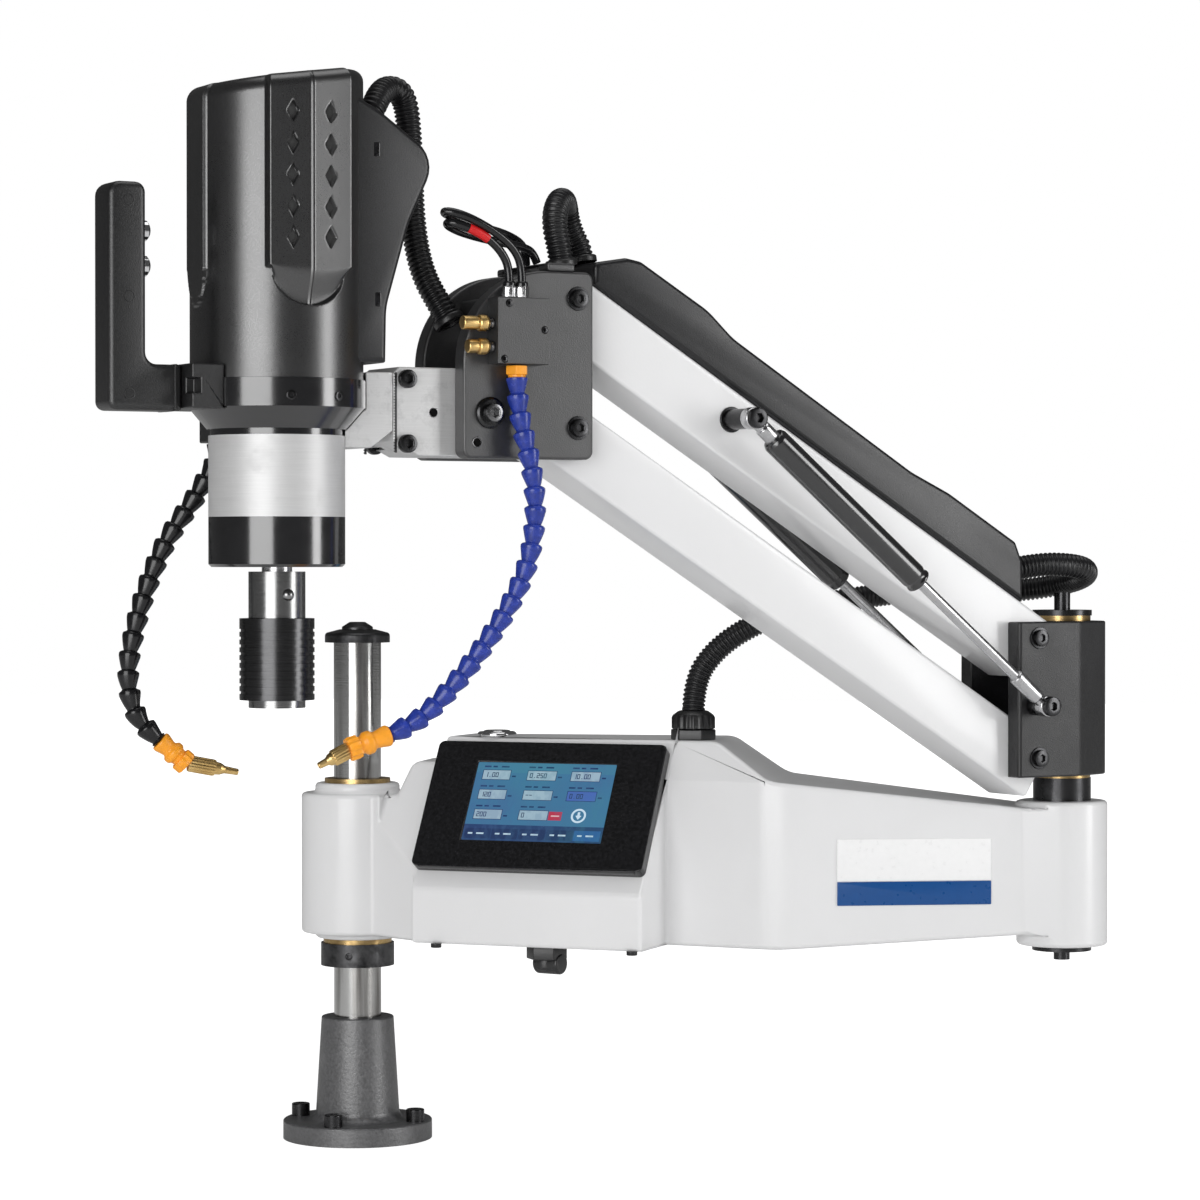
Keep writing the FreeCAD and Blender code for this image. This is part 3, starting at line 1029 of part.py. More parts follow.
def make_gearbox():
    collar = turned(((BAND_BORE, BAND_TOP), (BAND_R - 1, BAND_TOP), (BAND_R - 1, CONE_Z),
                     (BAND_R + 1, CONE_Z), (COLLAR_HEAD_R - 1, COLLAR_HEAD_Z), (COLLAR_HEAD_R, COLLAR_HEAD_Z),
                     (COLLAR_HEAD_R, COLLAR_HEAD_TOP), (BAND_BORE, COLLAR_HEAD_TOP)), AXIS_U)
    save("gearbox_collar", in_arm_frame(collar))
    anodised = turned(((BAND_BORE, BAND_MID), (BAND_R, BAND_MID), (BAND_R, BAND_TOP), (BAND_BORE, BAND_TOP)),
                      AXIS_U)
    save("anodised_band", in_arm_frame(anodised))
    band = turned(((SPINDLE_R + SHAFT_GAP, BAND_BOTTOM), (BAND_R - 2, BAND_BOTTOM), (BAND_R, BAND_BOTTOM + 2),
                   (BAND_R, BAND_MID), (BAND_BORE, BAND_MID), (BAND_BORE, BEARING_Z[0]),
                   (SPINDLE_R + SHAFT_GAP, BEARING_Z[0])), AXIS_U)
    save("lower_band", in_arm_frame(band))
    bearings = [ring(BEARING_R, SPINDLE_R + SHAFT_GAP, z, z + BEARING_H, AXIS_U) for z in BEARING_Z]
    save("spindle_bearings", in_arm_frame(group(bearings)))

    reducer_low = COLLAR_HEAD_TOP
    reducer = ring(REDUCER_R, SPINDLE_R + SLIDE_GAP, reducer_low, SPINDLE_TOP + 1, AXIS_U)
    upper = head_cylinder(REDUCER_R, SPINDLE_TOP + 1, reducer_low + REDUCER_H)
    half = MOTOR_SQUARE / 2
    motor_low = reducer_low + REDUCER_H
    motor = cuboid(AXIS_U - half, AXIS_U + half, -half, half, motor_low, motor_low + MOTOR_H)
    motor = motor.common(head_cylinder(MOTOR_R, motor_low - 1, motor_low + MOTOR_H + 1))
    save("servo_motor", in_arm_frame(fuse_all([reducer, upper, motor])))

    shaft = head_cylinder(SPINDLE_R, CHUCK_TOP, SPINDLE_TOP)
    save("spindle_shaft", in_arm_frame(shaft))
    chuck = head_cylinder(CHUCK_R, CHUCK_BOTTOM, CHUCK_TOP)
    chuck = chuck.cut(head_cylinder(CHUCK_BORE_R, CHUCK_BOTTOM - 1, CHUCK_BOTTOM + CHUCK_BORE_DEPTH))
    ball = Part.makeSphere(CHUCK_BALL_R, V(AXIS_U, CHUCK_R - CHUCK_BALL_SINK, CHUCK_BALL_Z))
    save("chuck_body", in_arm_frame(group([chuck.cut(ball), ball])))

    sleeve = ring(SLEEVE_R, CHUCK_R + SHAFT_GAP, SLEEVE_LOW, SLEEVE_TOP, AXIS_U)
    pitch = (SLEEVE_H - 2 * SLEEVE_PLAIN) / SLEEVE_RIBS
    for i in range(SLEEVE_RIBS):
        low = SLEEVE_LOW + SLEEVE_PLAIN + i * pitch
        sleeve = sleeve.cut(ring(SLEEVE_R + 1, SLEEVE_R - RIB_DEPTH, low, low + pitch * 0.4, AXIS_U))
    save("chuck_sleeve", in_arm_frame(sleeve))


def inset(corners, wall):
    """Corners of a clockwise outline, each side moved inwards by the wall."""
    moved = []
    for i, (u, z, *radius) in enumerate(corners):
        here = V(u, z, 0)
        before = here.sub(V(*corners[i - 1][:2], 0)).normalize()
        after = V(*corners[(i + 1) % len(corners)][:2], 0).sub(here).normalize()
        mitre = V(before.y + after.y, -before.x - after.x, 0).multiply(wall / (1 + before.dot(after)))
        outward = 1 if before.cross(after).z > 0 else -1
        moved.append((u + mitre.x, z + mitre.y, *(size + outward * wall for size in radius)))
    return moved


def fairing_profile(wall):
    """The fairing's side outline in the arm's frame, moved inwards by a wall and open below."""
    foot_u = AXIS_U - HOUSING_R - FAIRING_REACH
    top_u = AXIS_U - FAIRING_TOP_BACK
    low = FAIRING_LOW - (wall + 1 if wall else 0)
    rear = [(foot_u - back, FAIRING_LOW + up, radius) for back, up, radius in FAIRING_BACK]
    return inset([(foot_u, low), *rear, (top_u, HOUSING_TOP_REAR - FAIRING_TOP_DROP), (top_u, low)], wall)


def make_housing():
    tall = head_cylinder(HOUSING_R, COLLAR_HEAD_TOP, HOUSING_TOP_REAR + 30)
    slope = (HOUSING_H_REAR - HOUSING_H_FRONT) / (2 * HOUSING_R)
    rear = AXIS_U - HOUSING_R - 5
    front = AXIS_U + HOUSING_R + 5
    over = HOUSING_TOP_REAR + 50
    roof = side_prism(((rear, HOUSING_TOP_REAR + 5 * slope), (front, HOUSING_TOP_FRONT - 5 * slope),
                       (front, over), (rear, over)), -HOUSING_R - 5, HOUSING_R + 5)
    shell = tall.cut(roof)
    top_edges = [edge for edge in shell.Edges if edge.BoundBox.ZMin > HOUSING_TOP_FRONT - 10]
    shell = shell.makeFillet(HOUSING_EDGE_R, top_edges)
    room = head_cylinder(HOUSING_R - HOUSING_WALL, COLLAR_HEAD_TOP - 1, HOUSING_TOP_FRONT - HOUSING_EDGE_R)
    save("motor_housing", in_arm_frame(shell.cut(room)))

    fairing = side_prism(fairing_profile(0), -FAIRING_HALF, FAIRING_HALF)
    inner_half = FAIRING_HALF - FAIRING_WALL
    keep_out = [side_prism(fairing_profile(FAIRING_WALL), -inner_half, inner_half),
                head_cylinder(HOUSING_R, FAIRING_LOW - 1, over),
                head_cylinder(COLLAR_HEAD_R, COLLAR_HEAD_Z, COLLAR_HEAD_TOP),
                bar(ROLL_ROOM_R, V(COUPLING_U, 0, ROLL_Z), V(COUPLING_SEAM_U + SLIDE_GAP, 0, ROLL_Z))]
    save("rear_fairing", in_arm_frame(cut_all(fairing, keep_out)))


def make_coupling():
    """The head's half of the coupling: a block from the seam to the collar, with a foot below the cone."""
    seam = COUPLING_SEAM_U + SEAT_GAP
    inner = AXIS_U - HEAD_FOOT_BACK
    foot_u = AXIS_U - COLLAR_HEAD_R + 1
    low = CONE_Z - HEAD_FOOT_DROP
    high = COUPLING_HIGH - COUPLING_TOP_CHAMFER
    block = side_prism(((seam, CONE_Z), (seam, high), (inner, high), (inner, low), (foot_u, low),
                        ((seam + foot_u) / 2, (low + CONE_Z) / 2)), -ARM_HALF, ARM_HALF)
    keep_out = [head_cylinder(COLLAR_HEAD_R, COLLAR_HEAD_Z, COUPLING_HIGH),
                head_cylinder(BAND_R, BAND_BOTTOM, CONE_Z),
                Part.makeCone(BAND_R + 1, COLLAR_HEAD_R - 1, CONE_H, V(AXIS_U, 0, CONE_Z))]
    block = cut_all(block, keep_out)
    block = max(block.Solids, key=lambda solid: solid.Volume)
    save("head_coupling", in_arm_frame(block))


def make_handle():
    head_body = [head_cylinder(COLLAR_HEAD_R, COLLAR_HEAD_Z, CLAMP_HIGH + 1),
                 Part.makeCone(BAND_R + 1, COLLAR_HEAD_R - 1, CONE_H, V(AXIS_U, 0, CONE_Z)),
                 head_cylinder(BAND_R + 1, BAND_BOTTOM, CONE_Z)]
    block = cuboid(AXIS_U + CLAMP_IN, AXIS_U + CLAMP_OUT, -CLAMP_HALF, CLAMP_HALF, CLAMP_LOW, CLAMP_HIGH)
    notch_low = CLAMP_LOW + CLAMP_NOTCH_LIFT
    notch = cuboid(AXIS_U + CLAMP_NOTCH_U, AXIS_U + CLAMP_OUT + 1, CLAMP_NOTCH_V, CLAMP_HALF + 1,
                   notch_low, notch_low + CLAMP_NOTCH_H)
    hose_at = V(*ROUTE_BLACK[0])
    hose_clamp = cuboid(hose_at.x - HOSE_CLAMP_HALF, hose_at.x + HOSE_CLAMP_HALF, hose_at.y - HOSE_CLAMP_HALF,
                        -HOSE_CLAMP_IN, hose_at.z, COLLAR_HEAD_TOP)
    clamps = [cut_all(block, head_body + [notch]), cut_all(hose_clamp, head_body)]
    save("collar_clamps", in_arm_frame(group([max(clamp.Solids, key=lambda solid: solid.Volume)
                                              for clamp in clamps])))

    foot_u, in_u, out_u = AXIS_U + CLAMP_OUT, AXIS_U + GRIP_IN, AXIS_U + GRIP_OUT
    grip = side_prism(((foot_u, GRIP_LOW), (out_u, GRIP_LOW, 5), (out_u, GRIP_TOP, 7), (in_u, GRIP_TOP, 5),
                       (in_u, FOOT_HIGH, 4), (foot_u, FOOT_HIGH)), -GRIP_HALF, GRIP_HALF)
    for z in BUTTON_Z:
        hole_end = GRIP_IN + BUTTON_DEPTH + BUTTON_TRAVEL + 1
        grip = grip.cut(bar(BUTTON_R + SHAFT_GAP, V(AXIS_U + GRIP_IN - 1, 0, z), V(AXIS_U + hole_end, 0, z)))
    save("handle_grip", in_arm_frame(grip))
    for name, z in zip(("start_button", "stop_button"), BUTTON_Z):
        tip = AXIS_U + GRIP_IN - BUTTON_PROUD
        stem = bar(BUTTON_R, V(tip + 3, 0, z), V(AXIS_U + GRIP_IN + BUTTON_DEPTH, 0, z))
        dome = Part.makeSphere(BUTTON_DOME_R, V(tip + BUTTON_DOME_R, 0, z))
        dome = dome.common(bar(BUTTON_R, V(tip - 5, 0, z), V(AXIS_U + GRIP_IN, 0, z)))
        save(name, in_arm_frame(fuse_all([stem, dome])))


def make_hoses():
    save("blue_hose", in_arm_frame(cord_tube("blue hose", ROUTE_BLUE, HOSE_R)))
    save("blue_hose_nozzle", in_arm_frame(make_nozzle(BLUE_TIP)))
    save("black_hose", in_arm_frame(cord_tube("black hose", ROUTE_BLACK, HOSE_R)))
    save("black_hose_nozzle", in_arm_frame(make_nozzle(BLACK_TIP)))


def make_conduits():
    for name, route in (("conduit_base", ROUTE_CONDUIT_BASE), ("conduit_rear", ROUTE_CONDUIT_REAR),
                        ("conduit_front", ROUTE_CONDUIT_FRONT), ("conduit_head", ROUTE_CONDUIT_HEAD)):
        save(name, in_arm_frame(cord_tube(name, route, CONDUIT_R)))


os.makedirs("parts", exist_ok=True)
make_stand()
make_base_arm()
make_post()
make_rear_block()
make_arms()
make_springs()
make_bracket()
make_valve()
make_gearbox()
make_housing()
make_coupling()
make_handle()
make_hoses()
make_conduits()
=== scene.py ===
import math

import bmesh
import bpy
import numpy as np
from bpy.props import FloatProperty, FloatVectorProperty, IntProperty, PointerProperty
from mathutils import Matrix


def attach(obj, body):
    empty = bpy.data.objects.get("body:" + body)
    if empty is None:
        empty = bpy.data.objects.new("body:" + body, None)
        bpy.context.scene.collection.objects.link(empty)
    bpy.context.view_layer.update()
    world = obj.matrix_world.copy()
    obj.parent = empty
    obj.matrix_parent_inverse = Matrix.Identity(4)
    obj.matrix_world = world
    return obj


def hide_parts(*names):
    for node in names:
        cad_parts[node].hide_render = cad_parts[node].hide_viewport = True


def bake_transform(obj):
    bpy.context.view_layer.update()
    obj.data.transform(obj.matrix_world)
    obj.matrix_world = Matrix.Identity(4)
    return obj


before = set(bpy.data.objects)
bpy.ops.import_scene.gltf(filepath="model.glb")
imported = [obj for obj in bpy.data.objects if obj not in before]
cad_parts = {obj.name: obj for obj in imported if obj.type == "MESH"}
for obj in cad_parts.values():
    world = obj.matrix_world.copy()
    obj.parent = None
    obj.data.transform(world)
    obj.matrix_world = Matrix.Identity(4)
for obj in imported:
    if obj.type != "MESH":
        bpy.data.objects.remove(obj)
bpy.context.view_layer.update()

bl_info = {
    "name": "Swing-arm tapping machine",
    "version": (1, 0, 0),
    "blender": (4, 5, 0),
    "location": "3D View > Sidebar > Tapping machine",
    "description": "Builds the finished surfaces of a swing-arm tapping machine around its CAD frame",
    "category": "Add Mesh",
}

# The double arm's frame in millimetres: u forward along the arm from the post, v to its near side, z up.
POST_X = 565.0
ARM_TURN = math.radians(218.66)
ARM_RISE = math.radians(31.5)
PIVOT_U = 50.0
PIVOT_UPPER_Z = 406.4
PIVOT_LOWER_Z = 314.4
FRONT_ALONG = 470.0
AXIS_U = 666.5
FORK_HALF = 40.0
COUPLING_HOLE = (557.4, 569.5)
ARM_HALF = 24.5

# Routes of the conduits, tubes and hoses in the arm's frame: control points of their splines.
CONDUIT_BASE = ((243.8, -152.9, 344), (243.8, -152.9, 370), (228, -146, 396), (200, -134, 416), (166, -120, 428),
                (130, -106, 435), (94, -95, 440), (68, -84, 442), (46, -72.3, 441.5))
CONDUIT_REAR = ((34, -65.7, 441.5), (16, -55.5, 441.5), (-3, -47, 443), (-18, -35, 446), (-26, -18, 450),
                (-24, 0, 455), (-14, 10, 459.5), (1, 13, 462), (18, 9, 463), (36, 3, 461), (53.5, 0, 458))
CONDUIT_FRONT = ((420, -12, 683.5), (421, -13, 693), (426.5, -13.5, 702), (431, -13, 713), (434, -10, 721),
                 (441, 0, 726), (450, 9.5, 724), (457.5, 17, 714), (458.5, 20, 701), (455.5, 21, 688),
                 (454, 21, 677.5))
CONDUIT_HEAD = ((527, -12, 636), (533, -18, 650), (540, -25, 667), (544, -30, 687), (546.4, -33, 714),
                (547, -34, 745), (548, -34, 768), (551.5, -32, 792), (559, -29, 801.5), (571, -25, 801.5),
                (580.5, -17, 794.5), (587.2, -12, 784.3), (597, -12, 769.3))
TUBE_A = ((510, 48, 661.2), (510, 48, 671), (516, 48.5, 682), (527, 49.5, 691), (541, 49.5, 697.5), (552, 47.5, 701),
          (556, 42, 701.5), (552, 36, 699.5), (541, 33, 696), (522, 30, 692.5), (502, 25, 690.5), (485, 19.5, 689),
          (474, 15.5, 686), (470.5, 14.5, 678.4))
TUBE_B = ((500, 48, 661.2), (500, 48, 673), (507, 49.5, 685), (522, 50.5, 695.5), (539, 51, 703.5), (553, 50, 708),
          (559.5, 44.5, 709), (555, 38, 707.5), (541, 34, 704), (521, 29, 700.5), (501, 21, 698), (482, 9, 694),
          (472, 0, 688), (470, -3, 678.4))
BLUE_HOSE = ((504, 48, 594.8), (503.8, 48.6, 577), (501, 52, 556), (497, 56, 534), (495, 59, 512), (496, 60, 489),
             (501, 61, 466), (510, 61, 445), (522, 60, 425), (536, 58, 405), (551, 56, 386), (568, 53, 367),
             (586, 51, 352.3), (604, 49.6, 345.4))
BLACK_HOSE = ((681, -71, 548.8), (681, -71, 538), (690, -72.5, 522), (700, -73.5, 506), (712, -74, 490),
              (722, -74, 474), (730, -74, 456), (737, -73.5, 438), (743, -72.5, 419), (748, -70.5, 400),
              (750.5, -67.5, 381), (748.5, -63.5, 363), (742, -60, 350), (731, -57, 340))
BLUE_TIP = ((604.3, 49.6, 345.3), (632, 47.4, 336.3), (655, 44, 325))
BLACK_TIP = ((730.8, -56.9, 339.8), (713.6, -52.2, 324.2), (677, -44, 317))

# The operator panel: its lower left corner in the row frame, its turn and its lean.
PANEL_CORNER = (62.0, -80.0, 227.5)
PANEL_TURN = math.radians(-11.31)
PANEL_LEAN = math.radians(58.6)
PANEL_THICK = 10.0
SCREEN = (37.7, 23.5, 117.0, 69.0)
SCREEN_FACE = PANEL_THICK - 0.8

UP, ACROSS = (0, 0, 1), (0, 1, 0)
GLAND_UPPER, GLAND_LOWER = (279, -33), (170, -76)
BUTTON_PLACE = (116, -5, 0)
ARM_BEND, ARM_FACE_RUN = (353.0, -90.0), (182.0, 55.0)
SPRING_FOOT_U, SPRING_FOOT_Z, SPRING_ALONG, SPRING_V = 54.5, 354.9, 311, 55.0
CROSS_BOLT, PLATE_HOLE = (520.8, 569.5), (531.3, 548.6)
VALVE_V, TUBE_US, HOSE_U = 48, (500.0, 510.0), 504
GRIP_U = AXIS_U + 102

# The stage in metres: the camera's place and turn, and each softbox's size, place and aim.
CAMERA_PLACE = (0.7084, -2.8960, 0.4674)
CAMERA_TURN = (math.radians(89.35), 0, math.radians(9.98))
SOFTBOXES = (("key", (1.7, 1.35), (-0.41, -2.72, 0.72), (0.06, -0.38, 0.60)),
             ("fill", (1.0, 2.0), (3.53, -0.70, 0.90), (0.12, -0.35, 0.52)),
             ("top", (1.6, 1.2), (0.3, -0.2, 2.4), (0.25, -0.1, 0.4)))
FLOOR_HALF, FLOOR_LINES, FLOOR_MIDDLE = 9.0, 25, (0.25, -0.1, 0)


# ---------------------------------------------------------------- sizes and colours a user may change
class TappingColours(bpy.types.PropertyGroup):
    """Colours of the painted and moulded surfaces."""
    white_paint: FloatVectorProperty(name="White paint", description="Powder coat of the base arm and the beams",
                                     subtype="COLOR", size=3, min=0, max=1, default=(0.80, 0.80, 0.805))
    black_paint: FloatVectorProperty(name="Black paint", description="Textured coat of the bracket and blocks",
                                     subtype="COLOR", size=3, min=0, max=1, default=(0.011, 0.011, 0.012))
    black_moulding: FloatVectorProperty(name="Black moulding", description="Grained housing, handle and cover",
                                        subtype="COLOR", size=3, min=0, max=1, default=(0.007, 0.007, 0.0075))
    blue_hose: FloatVectorProperty(name="Blue hose", description="Segments of the near coolant hose",
                                   subtype="COLOR", size=3, min=0, max=1, default=(0.018, 0.040, 0.30))
    orange_fitting: FloatVectorProperty(name="Orange fitting", description="Connectors and nuts of the hoses",
                                        subtype="COLOR", size=3, min=0, max=1, default=(0.93, 0.36, 0.02))
    plate_band: FloatVectorProperty(name="Plate band", description="Lower band of the bare plate on the base arm",
                                    subtype="COLOR", size=3, min=0, max=1, default=(0.003, 0.070, 0.26))


class TappingSizes(bpy.types.PropertyGroup):
    """Sizes of the finished surfaces, in metres."""
    conduit_radius: FloatProperty(name="Conduit radius", description="Outside radius of the corrugated conduits",
                                  unit="LENGTH", min=0.006, max=0.012, default=0.0092)
    conduit_pitch: FloatProperty(name="Conduit pitch", description="Distance between two ribs of a conduit",
                                 unit="LENGTH", min=0.002, max=0.008, default=0.0034)
    hose_rim: FloatProperty(name="Hose rim radius", description="Radius of a hose segment's wide rim",
                            unit="LENGTH", min=0.006, max=0.009, default=0.0077)
    hose_neck: FloatProperty(name="Hose neck radius", description="Radius of a hose segment's neck",
                             unit="LENGTH", min=0.003, max=0.006, default=0.0047)
    hose_pitch: FloatProperty(name="Hose pitch", description="Length of one hose segment",
                              unit="LENGTH", min=0.008, max=0.02, default=0.0134)
    casting_edge: FloatProperty(name="Casting edge", description="Rounding of the base arm's edges",
                                unit="LENGTH", min=0.0005, max=0.006, default=0.003)
    diamond_depth: FloatProperty(name="Vent depth", description="Depth of the housing's diamond recesses",
                                 unit="LENGTH", min=0, max=0.003, default=0.0024)
    sleeve_grooves: IntProperty(name="Sleeve grooves", description="Grooves round the chuck's release sleeve",
                                min=3, max=15, default=9)


class TappingStage(bpy.types.PropertyGroup):
    """Camera and light of the stage."""
    lens: FloatProperty(name="Lens", description="Focal length of the camera in millimetres",
                        min=20, max=300, default=110.61)
    key_power: FloatProperty(name="Key light", description="Power of the left softbox", unit="POWER",
                             min=0, default=32)
    fill_power: FloatProperty(name="Fill light", description="Power of the right softbox", unit="POWER",
                              min=0, default=38)
    top_power: FloatProperty(name="Top light", description="Power of the overhead softbox", unit="POWER",
                             min=0, default=9)
    world_light: FloatProperty(name="World light", description="Level of the light from all round",
                               min=0, max=2, default=0.42)
    world_gloss: FloatProperty(name="World gloss", description="Level that glossy surfaces reflect from all round",
                               min=0, max=2, default=0.08)


# ---------------------------------------------------------------- frames
def row_frame(points):
    """Millimetres of the row frame become metres."""
    return np.asarray(points, float) / 1000


def arm_frame(points):
    """Millimetres of the arm's frame become metres of the row frame: a turn about the rear post, then its place."""
    p = np.asarray(points, float) / 1000
    c, s = math.cos(ARM_TURN), math.sin(ARM_TURN)
    return np.stack([POST_X / 1000 + p[..., 0] * c - p[..., 1] * s, p[..., 0] * s + p[..., 1] * c, p[..., 2]], -1)


def slope_frame(pivot_z):
    """A frame that lies along a beam at rest: (along, across, normal) about the beam's rear pivot."""
    c, s = math.cos(ARM_RISE), math.sin(ARM_RISE)

    def place(points):
        p = np.asarray(points, float)
        along, across, normal = p[..., 0], p[..., 1], p[..., 2]
        return arm_frame(np.stack([PIVOT_U + along * c - normal * s, across, pivot_z + along * s + normal * c], -1))
    return place


def panel_frame(points):
    """The operator panel's frame: x across, y up the slope, z outwards."""
    p = np.asarray(points, float)
    across = np.array([math.cos(PANEL_TURN), math.sin(PANEL_TURN), 0])
    inward = np.array([-across[1], across[0], 0])
    up_slope = inward * math.cos(PANEL_LEAN) + np.array([0, 0, math.sin(PANEL_LEAN)])
    facing = np.cross(across, up_slope)
    corner = np.array(PANEL_CORNER) - facing * PANEL_THICK
    return (corner + p[..., :1] * across + p[..., 1:2] * up_slope + p[..., 2:] * facing) / 1000


def aimed(points, start, direction):
    """Local x, y, z become the start plus x and y along two sides square to the direction and z along it."""
    d = np.array(direction, float) / np.linalg.norm(direction)
    side = np.cross(d, [0, 0, 1] if abs(d[2]) < 0.9 else [1, 0, 0])
    side /= np.linalg.norm(side)
    up = np.cross(side, d)
    return np.asarray(start, float) + points[..., :1] * side + points[..., 1:2] * up + points[..., 2:] * d


# ---------------------------------------------------------------- surfaces
def grid(points, around=True, along=False, ends=True, place=None):
    """Faces between neighbouring rows and columns of a (rows, columns, 3) array of points, which place then takes to
    the row frame; around and along close it in those directions, and ends puts a face over the first and the last
    row."""
    rows, columns = points.shape[:2]
    index = np.arange(rows * columns).reshape(rows, columns)
    full = np.concatenate([index, index[:, :1]], axis=1) if around else index
    full = np.concatenate([full, full[:1]], axis=0) if along else full
    faces = np.stack([full[:-1, :-1], full[:-1, 1:], full[1:, 1:], full[1:, :-1]], -1).reshape(-1, 4).tolist()
    if ends and around and not along:
        faces += [index[0].tolist(), index[-1].tolist()]
    points = points.reshape(-1, 3)
    return place(points) if place else points, faces


def circle_angles(count):
    return np.linspace(0, 2 * math.pi, count, endpoint=False)


def turned(profile, start=(0, 0, 0), direction=UP, edge=0.0, place=arm_frame, count=64, closed=False):
    """Each (radius, height) pair becomes a circle about the line from start: (r cos a, r sin a, h). An edge rounds
    the profile's corners first, and a closed profile makes a ring."""
    profile = curved(profile, edge) if edge else np.array(profile, float)
    a = circle_angles(count)
    r, h = profile[:, :1], profile[:, 1:]
    points = np.stack([r * np.cos(a), r * np.sin(a), h + 0 * a], -1)
    return grid(aimed(points, start, direction), along=closed, ends=not closed, place=place)


def disc(radius, low, high, start, direction=UP, edge=0.0, count=64):
    """A cylinder from low to high along the line from start."""
    return turned([(0, low), (radius, low), (radius, high), (0, high)], start, direction, edge, count=count)


def ribbed(radius, depth, ribs, rows, start, direction):
    """A turned shape whose radius swings round it: each row (scale, height) has s (radius + depth cos(ribs a))."""
    a = circle_angles(60)
    r = radius + depth * np.cos(ribs * a)
    points = np.stack([np.stack([s * r * np.cos(a), s * r * np.sin(a), h + 0 * a], -1) for s, h in rows])
    return grid(aimed(points, start, direction), place=arm_frame)


def hexagon(x, y, corner, rounding, turn=0.0):
    """A hexagon's corners in plan, each with its rounding."""
    return [(x + corner * math.cos(a), y + corner * math.sin(a), rounding) for a in circle_angles(6) + turn]


def eased(x):
    """A smooth step: 3 x^2 - 2 x^3 from 0 to 1."""
    x = np.clip(x, 0, 1)
    return x * x * (3 - 2 * x)


def curved(profile, edge=0.6, steps=3):
    """A (radius, height) profile whose inner corners are rounded off to the given edge radius."""
    p = np.array(profile, float)
    back, ahead = p[:-2] - p[1:-1], p[2:] - p[1:-1]
    lengths = np.minimum(np.linalg.norm(back, axis=1), np.linalg.norm(ahead, axis=1))
    cut = np.minimum(edge, lengths * 0.45)[:, None]
    first = p[1:-1] + back / np.linalg.norm(back, axis=1, keepdims=True) * cut
    last = p[1:-1] + ahead / np.linalg.norm(ahead, axis=1, keepdims=True) * cut
    t = np.linspace(0, 1, steps + 1)[None, :, None]
    arcs = (1 - t) ** 2 * first[:, None] + 2 * t * (1 - t) * p[1:-1, None] + t ** 2 * last[:, None]
    return np.concatenate([p[:1], arcs.reshape(-1, 2), p[-1:]])


def socket_head(radius, height, start, direction, across=None, depth=None, edge=0.6, place=arm_frame):
    """A screw's head: circles up its side, then a hexagon r = half the flats over cos(angle from the nearest flat)
    that goes down into the head."""
    across = radius * 1.05 if across is None else across
    depth = height * 0.6 if depth is None else depth
    a = circle_angles(48)
    hexagon = across / 2 / np.cos((a + math.pi / 6) % (math.pi / 3) - math.pi / 6)
    one = np.ones_like(a)
    r = np.stack([0 * one, radius * one, radius * one, (radius - edge * 0.3) * one, (radius - edge) * one,
                  hexagon + 0.25, hexagon, hexagon, 0 * one])
    h = np.array([0, 0, height - edge, height - edge * 0.3, height, height, height - 0.25, height - depth,
                  height - depth])[:, None] * one
    points = np.stack([r * np.cos(a), r * np.sin(a), h], -1)
    return grid(aimed(points, start, direction), ends=False, place=place)


def rounded(corners, inset=0.0, steps=6):
    """A closed outline: each side moved inwards by inset, and each corner (a, b, radius) turned into an arc tangent
    to both its sides, swept from the first tangent point to the last about the corner's centre."""
    p = np.array([corner[:2] for corner in corners], float)
    r = np.array([corner[2] if len(corner) > 2 else 0.0 for corner in corners], float)
    area = np.sum(p[:, 0] * np.roll(p[:, 1], -1) - np.roll(p[:, 0], -1) * p[:, 1])
    turn = 1.0 if area > 0 else -1.0
    ahead = np.roll(p, -1, axis=0) - p
    ahead /= np.linalg.norm(ahead, axis=1, keepdims=True)
    back = -np.roll(ahead, 1, axis=0)
    inward = np.stack([-ahead[:, 1], ahead[:, 0]], -1) * turn
    before = np.roll(inward, 1, axis=0)
    p = p + (inward + before) / (1 + np.sum(inward * before, axis=1, keepdims=True)) * inset
    convex = np.sign((-back[:, 0] * ahead[:, 1] + back[:, 1] * ahead[:, 0]) * turn)
    r = np.maximum(r - inset * convex, 0.02)
    half = np.arccos(np.clip(np.sum(back * ahead, axis=1), -1, 1)) / 2
    straight = half > math.pi / 2 - 1e-4
    reach = np.where(straight, 0, r / np.tan(np.minimum(half, 1.5707)))[:, None]
    middle = back + ahead
    middle /= np.maximum(np.linalg.norm(middle, axis=1, keepdims=True), 1e-9)
    centre = p + middle * (r / np.sin(half))[:, None]
    first, last = p + back * reach - centre, p + ahead * reach - centre
    sweep_angle = np.maximum(math.pi - 2 * half, 1e-6)[:, None, None]
    t = np.linspace(0, 1, steps + 1)[None, :, None]
    arcs = (np.sin((1 - t) * sweep_angle) * first[:, None] + np.sin(t * sweep_angle) * last[:, None]) \
        / np.sin(sweep_angle)
    return (centre[:, None] + arcs).reshape(-1, 2)


def slab(corners, low, high, edge=1.0, steps=3, arc_steps=6):
    """A rounded outline carried from low to high: rows of the outline, moved inwards by edge (1 - cos p) and up by
    edge (1 - sin p) at both ends. Columns are (a, b, height)."""
    p = np.linspace(0, math.pi / 2, steps + 1)
    insets = edge * (1 - np.sin(p))
    lifts = edge * (1 - np.cos(p))
    rows = [np.column_stack([rounded(corners, i, arc_steps), np.full(len(corners) * (arc_steps + 1), low + k)])
            for i, k in zip(insets, lifts)]
    rows += [np.column_stack([row[:, :2], np.full(len(row), high + low - row[0, 2])]) for row in rows[::-1]]
    return np.array(rows)


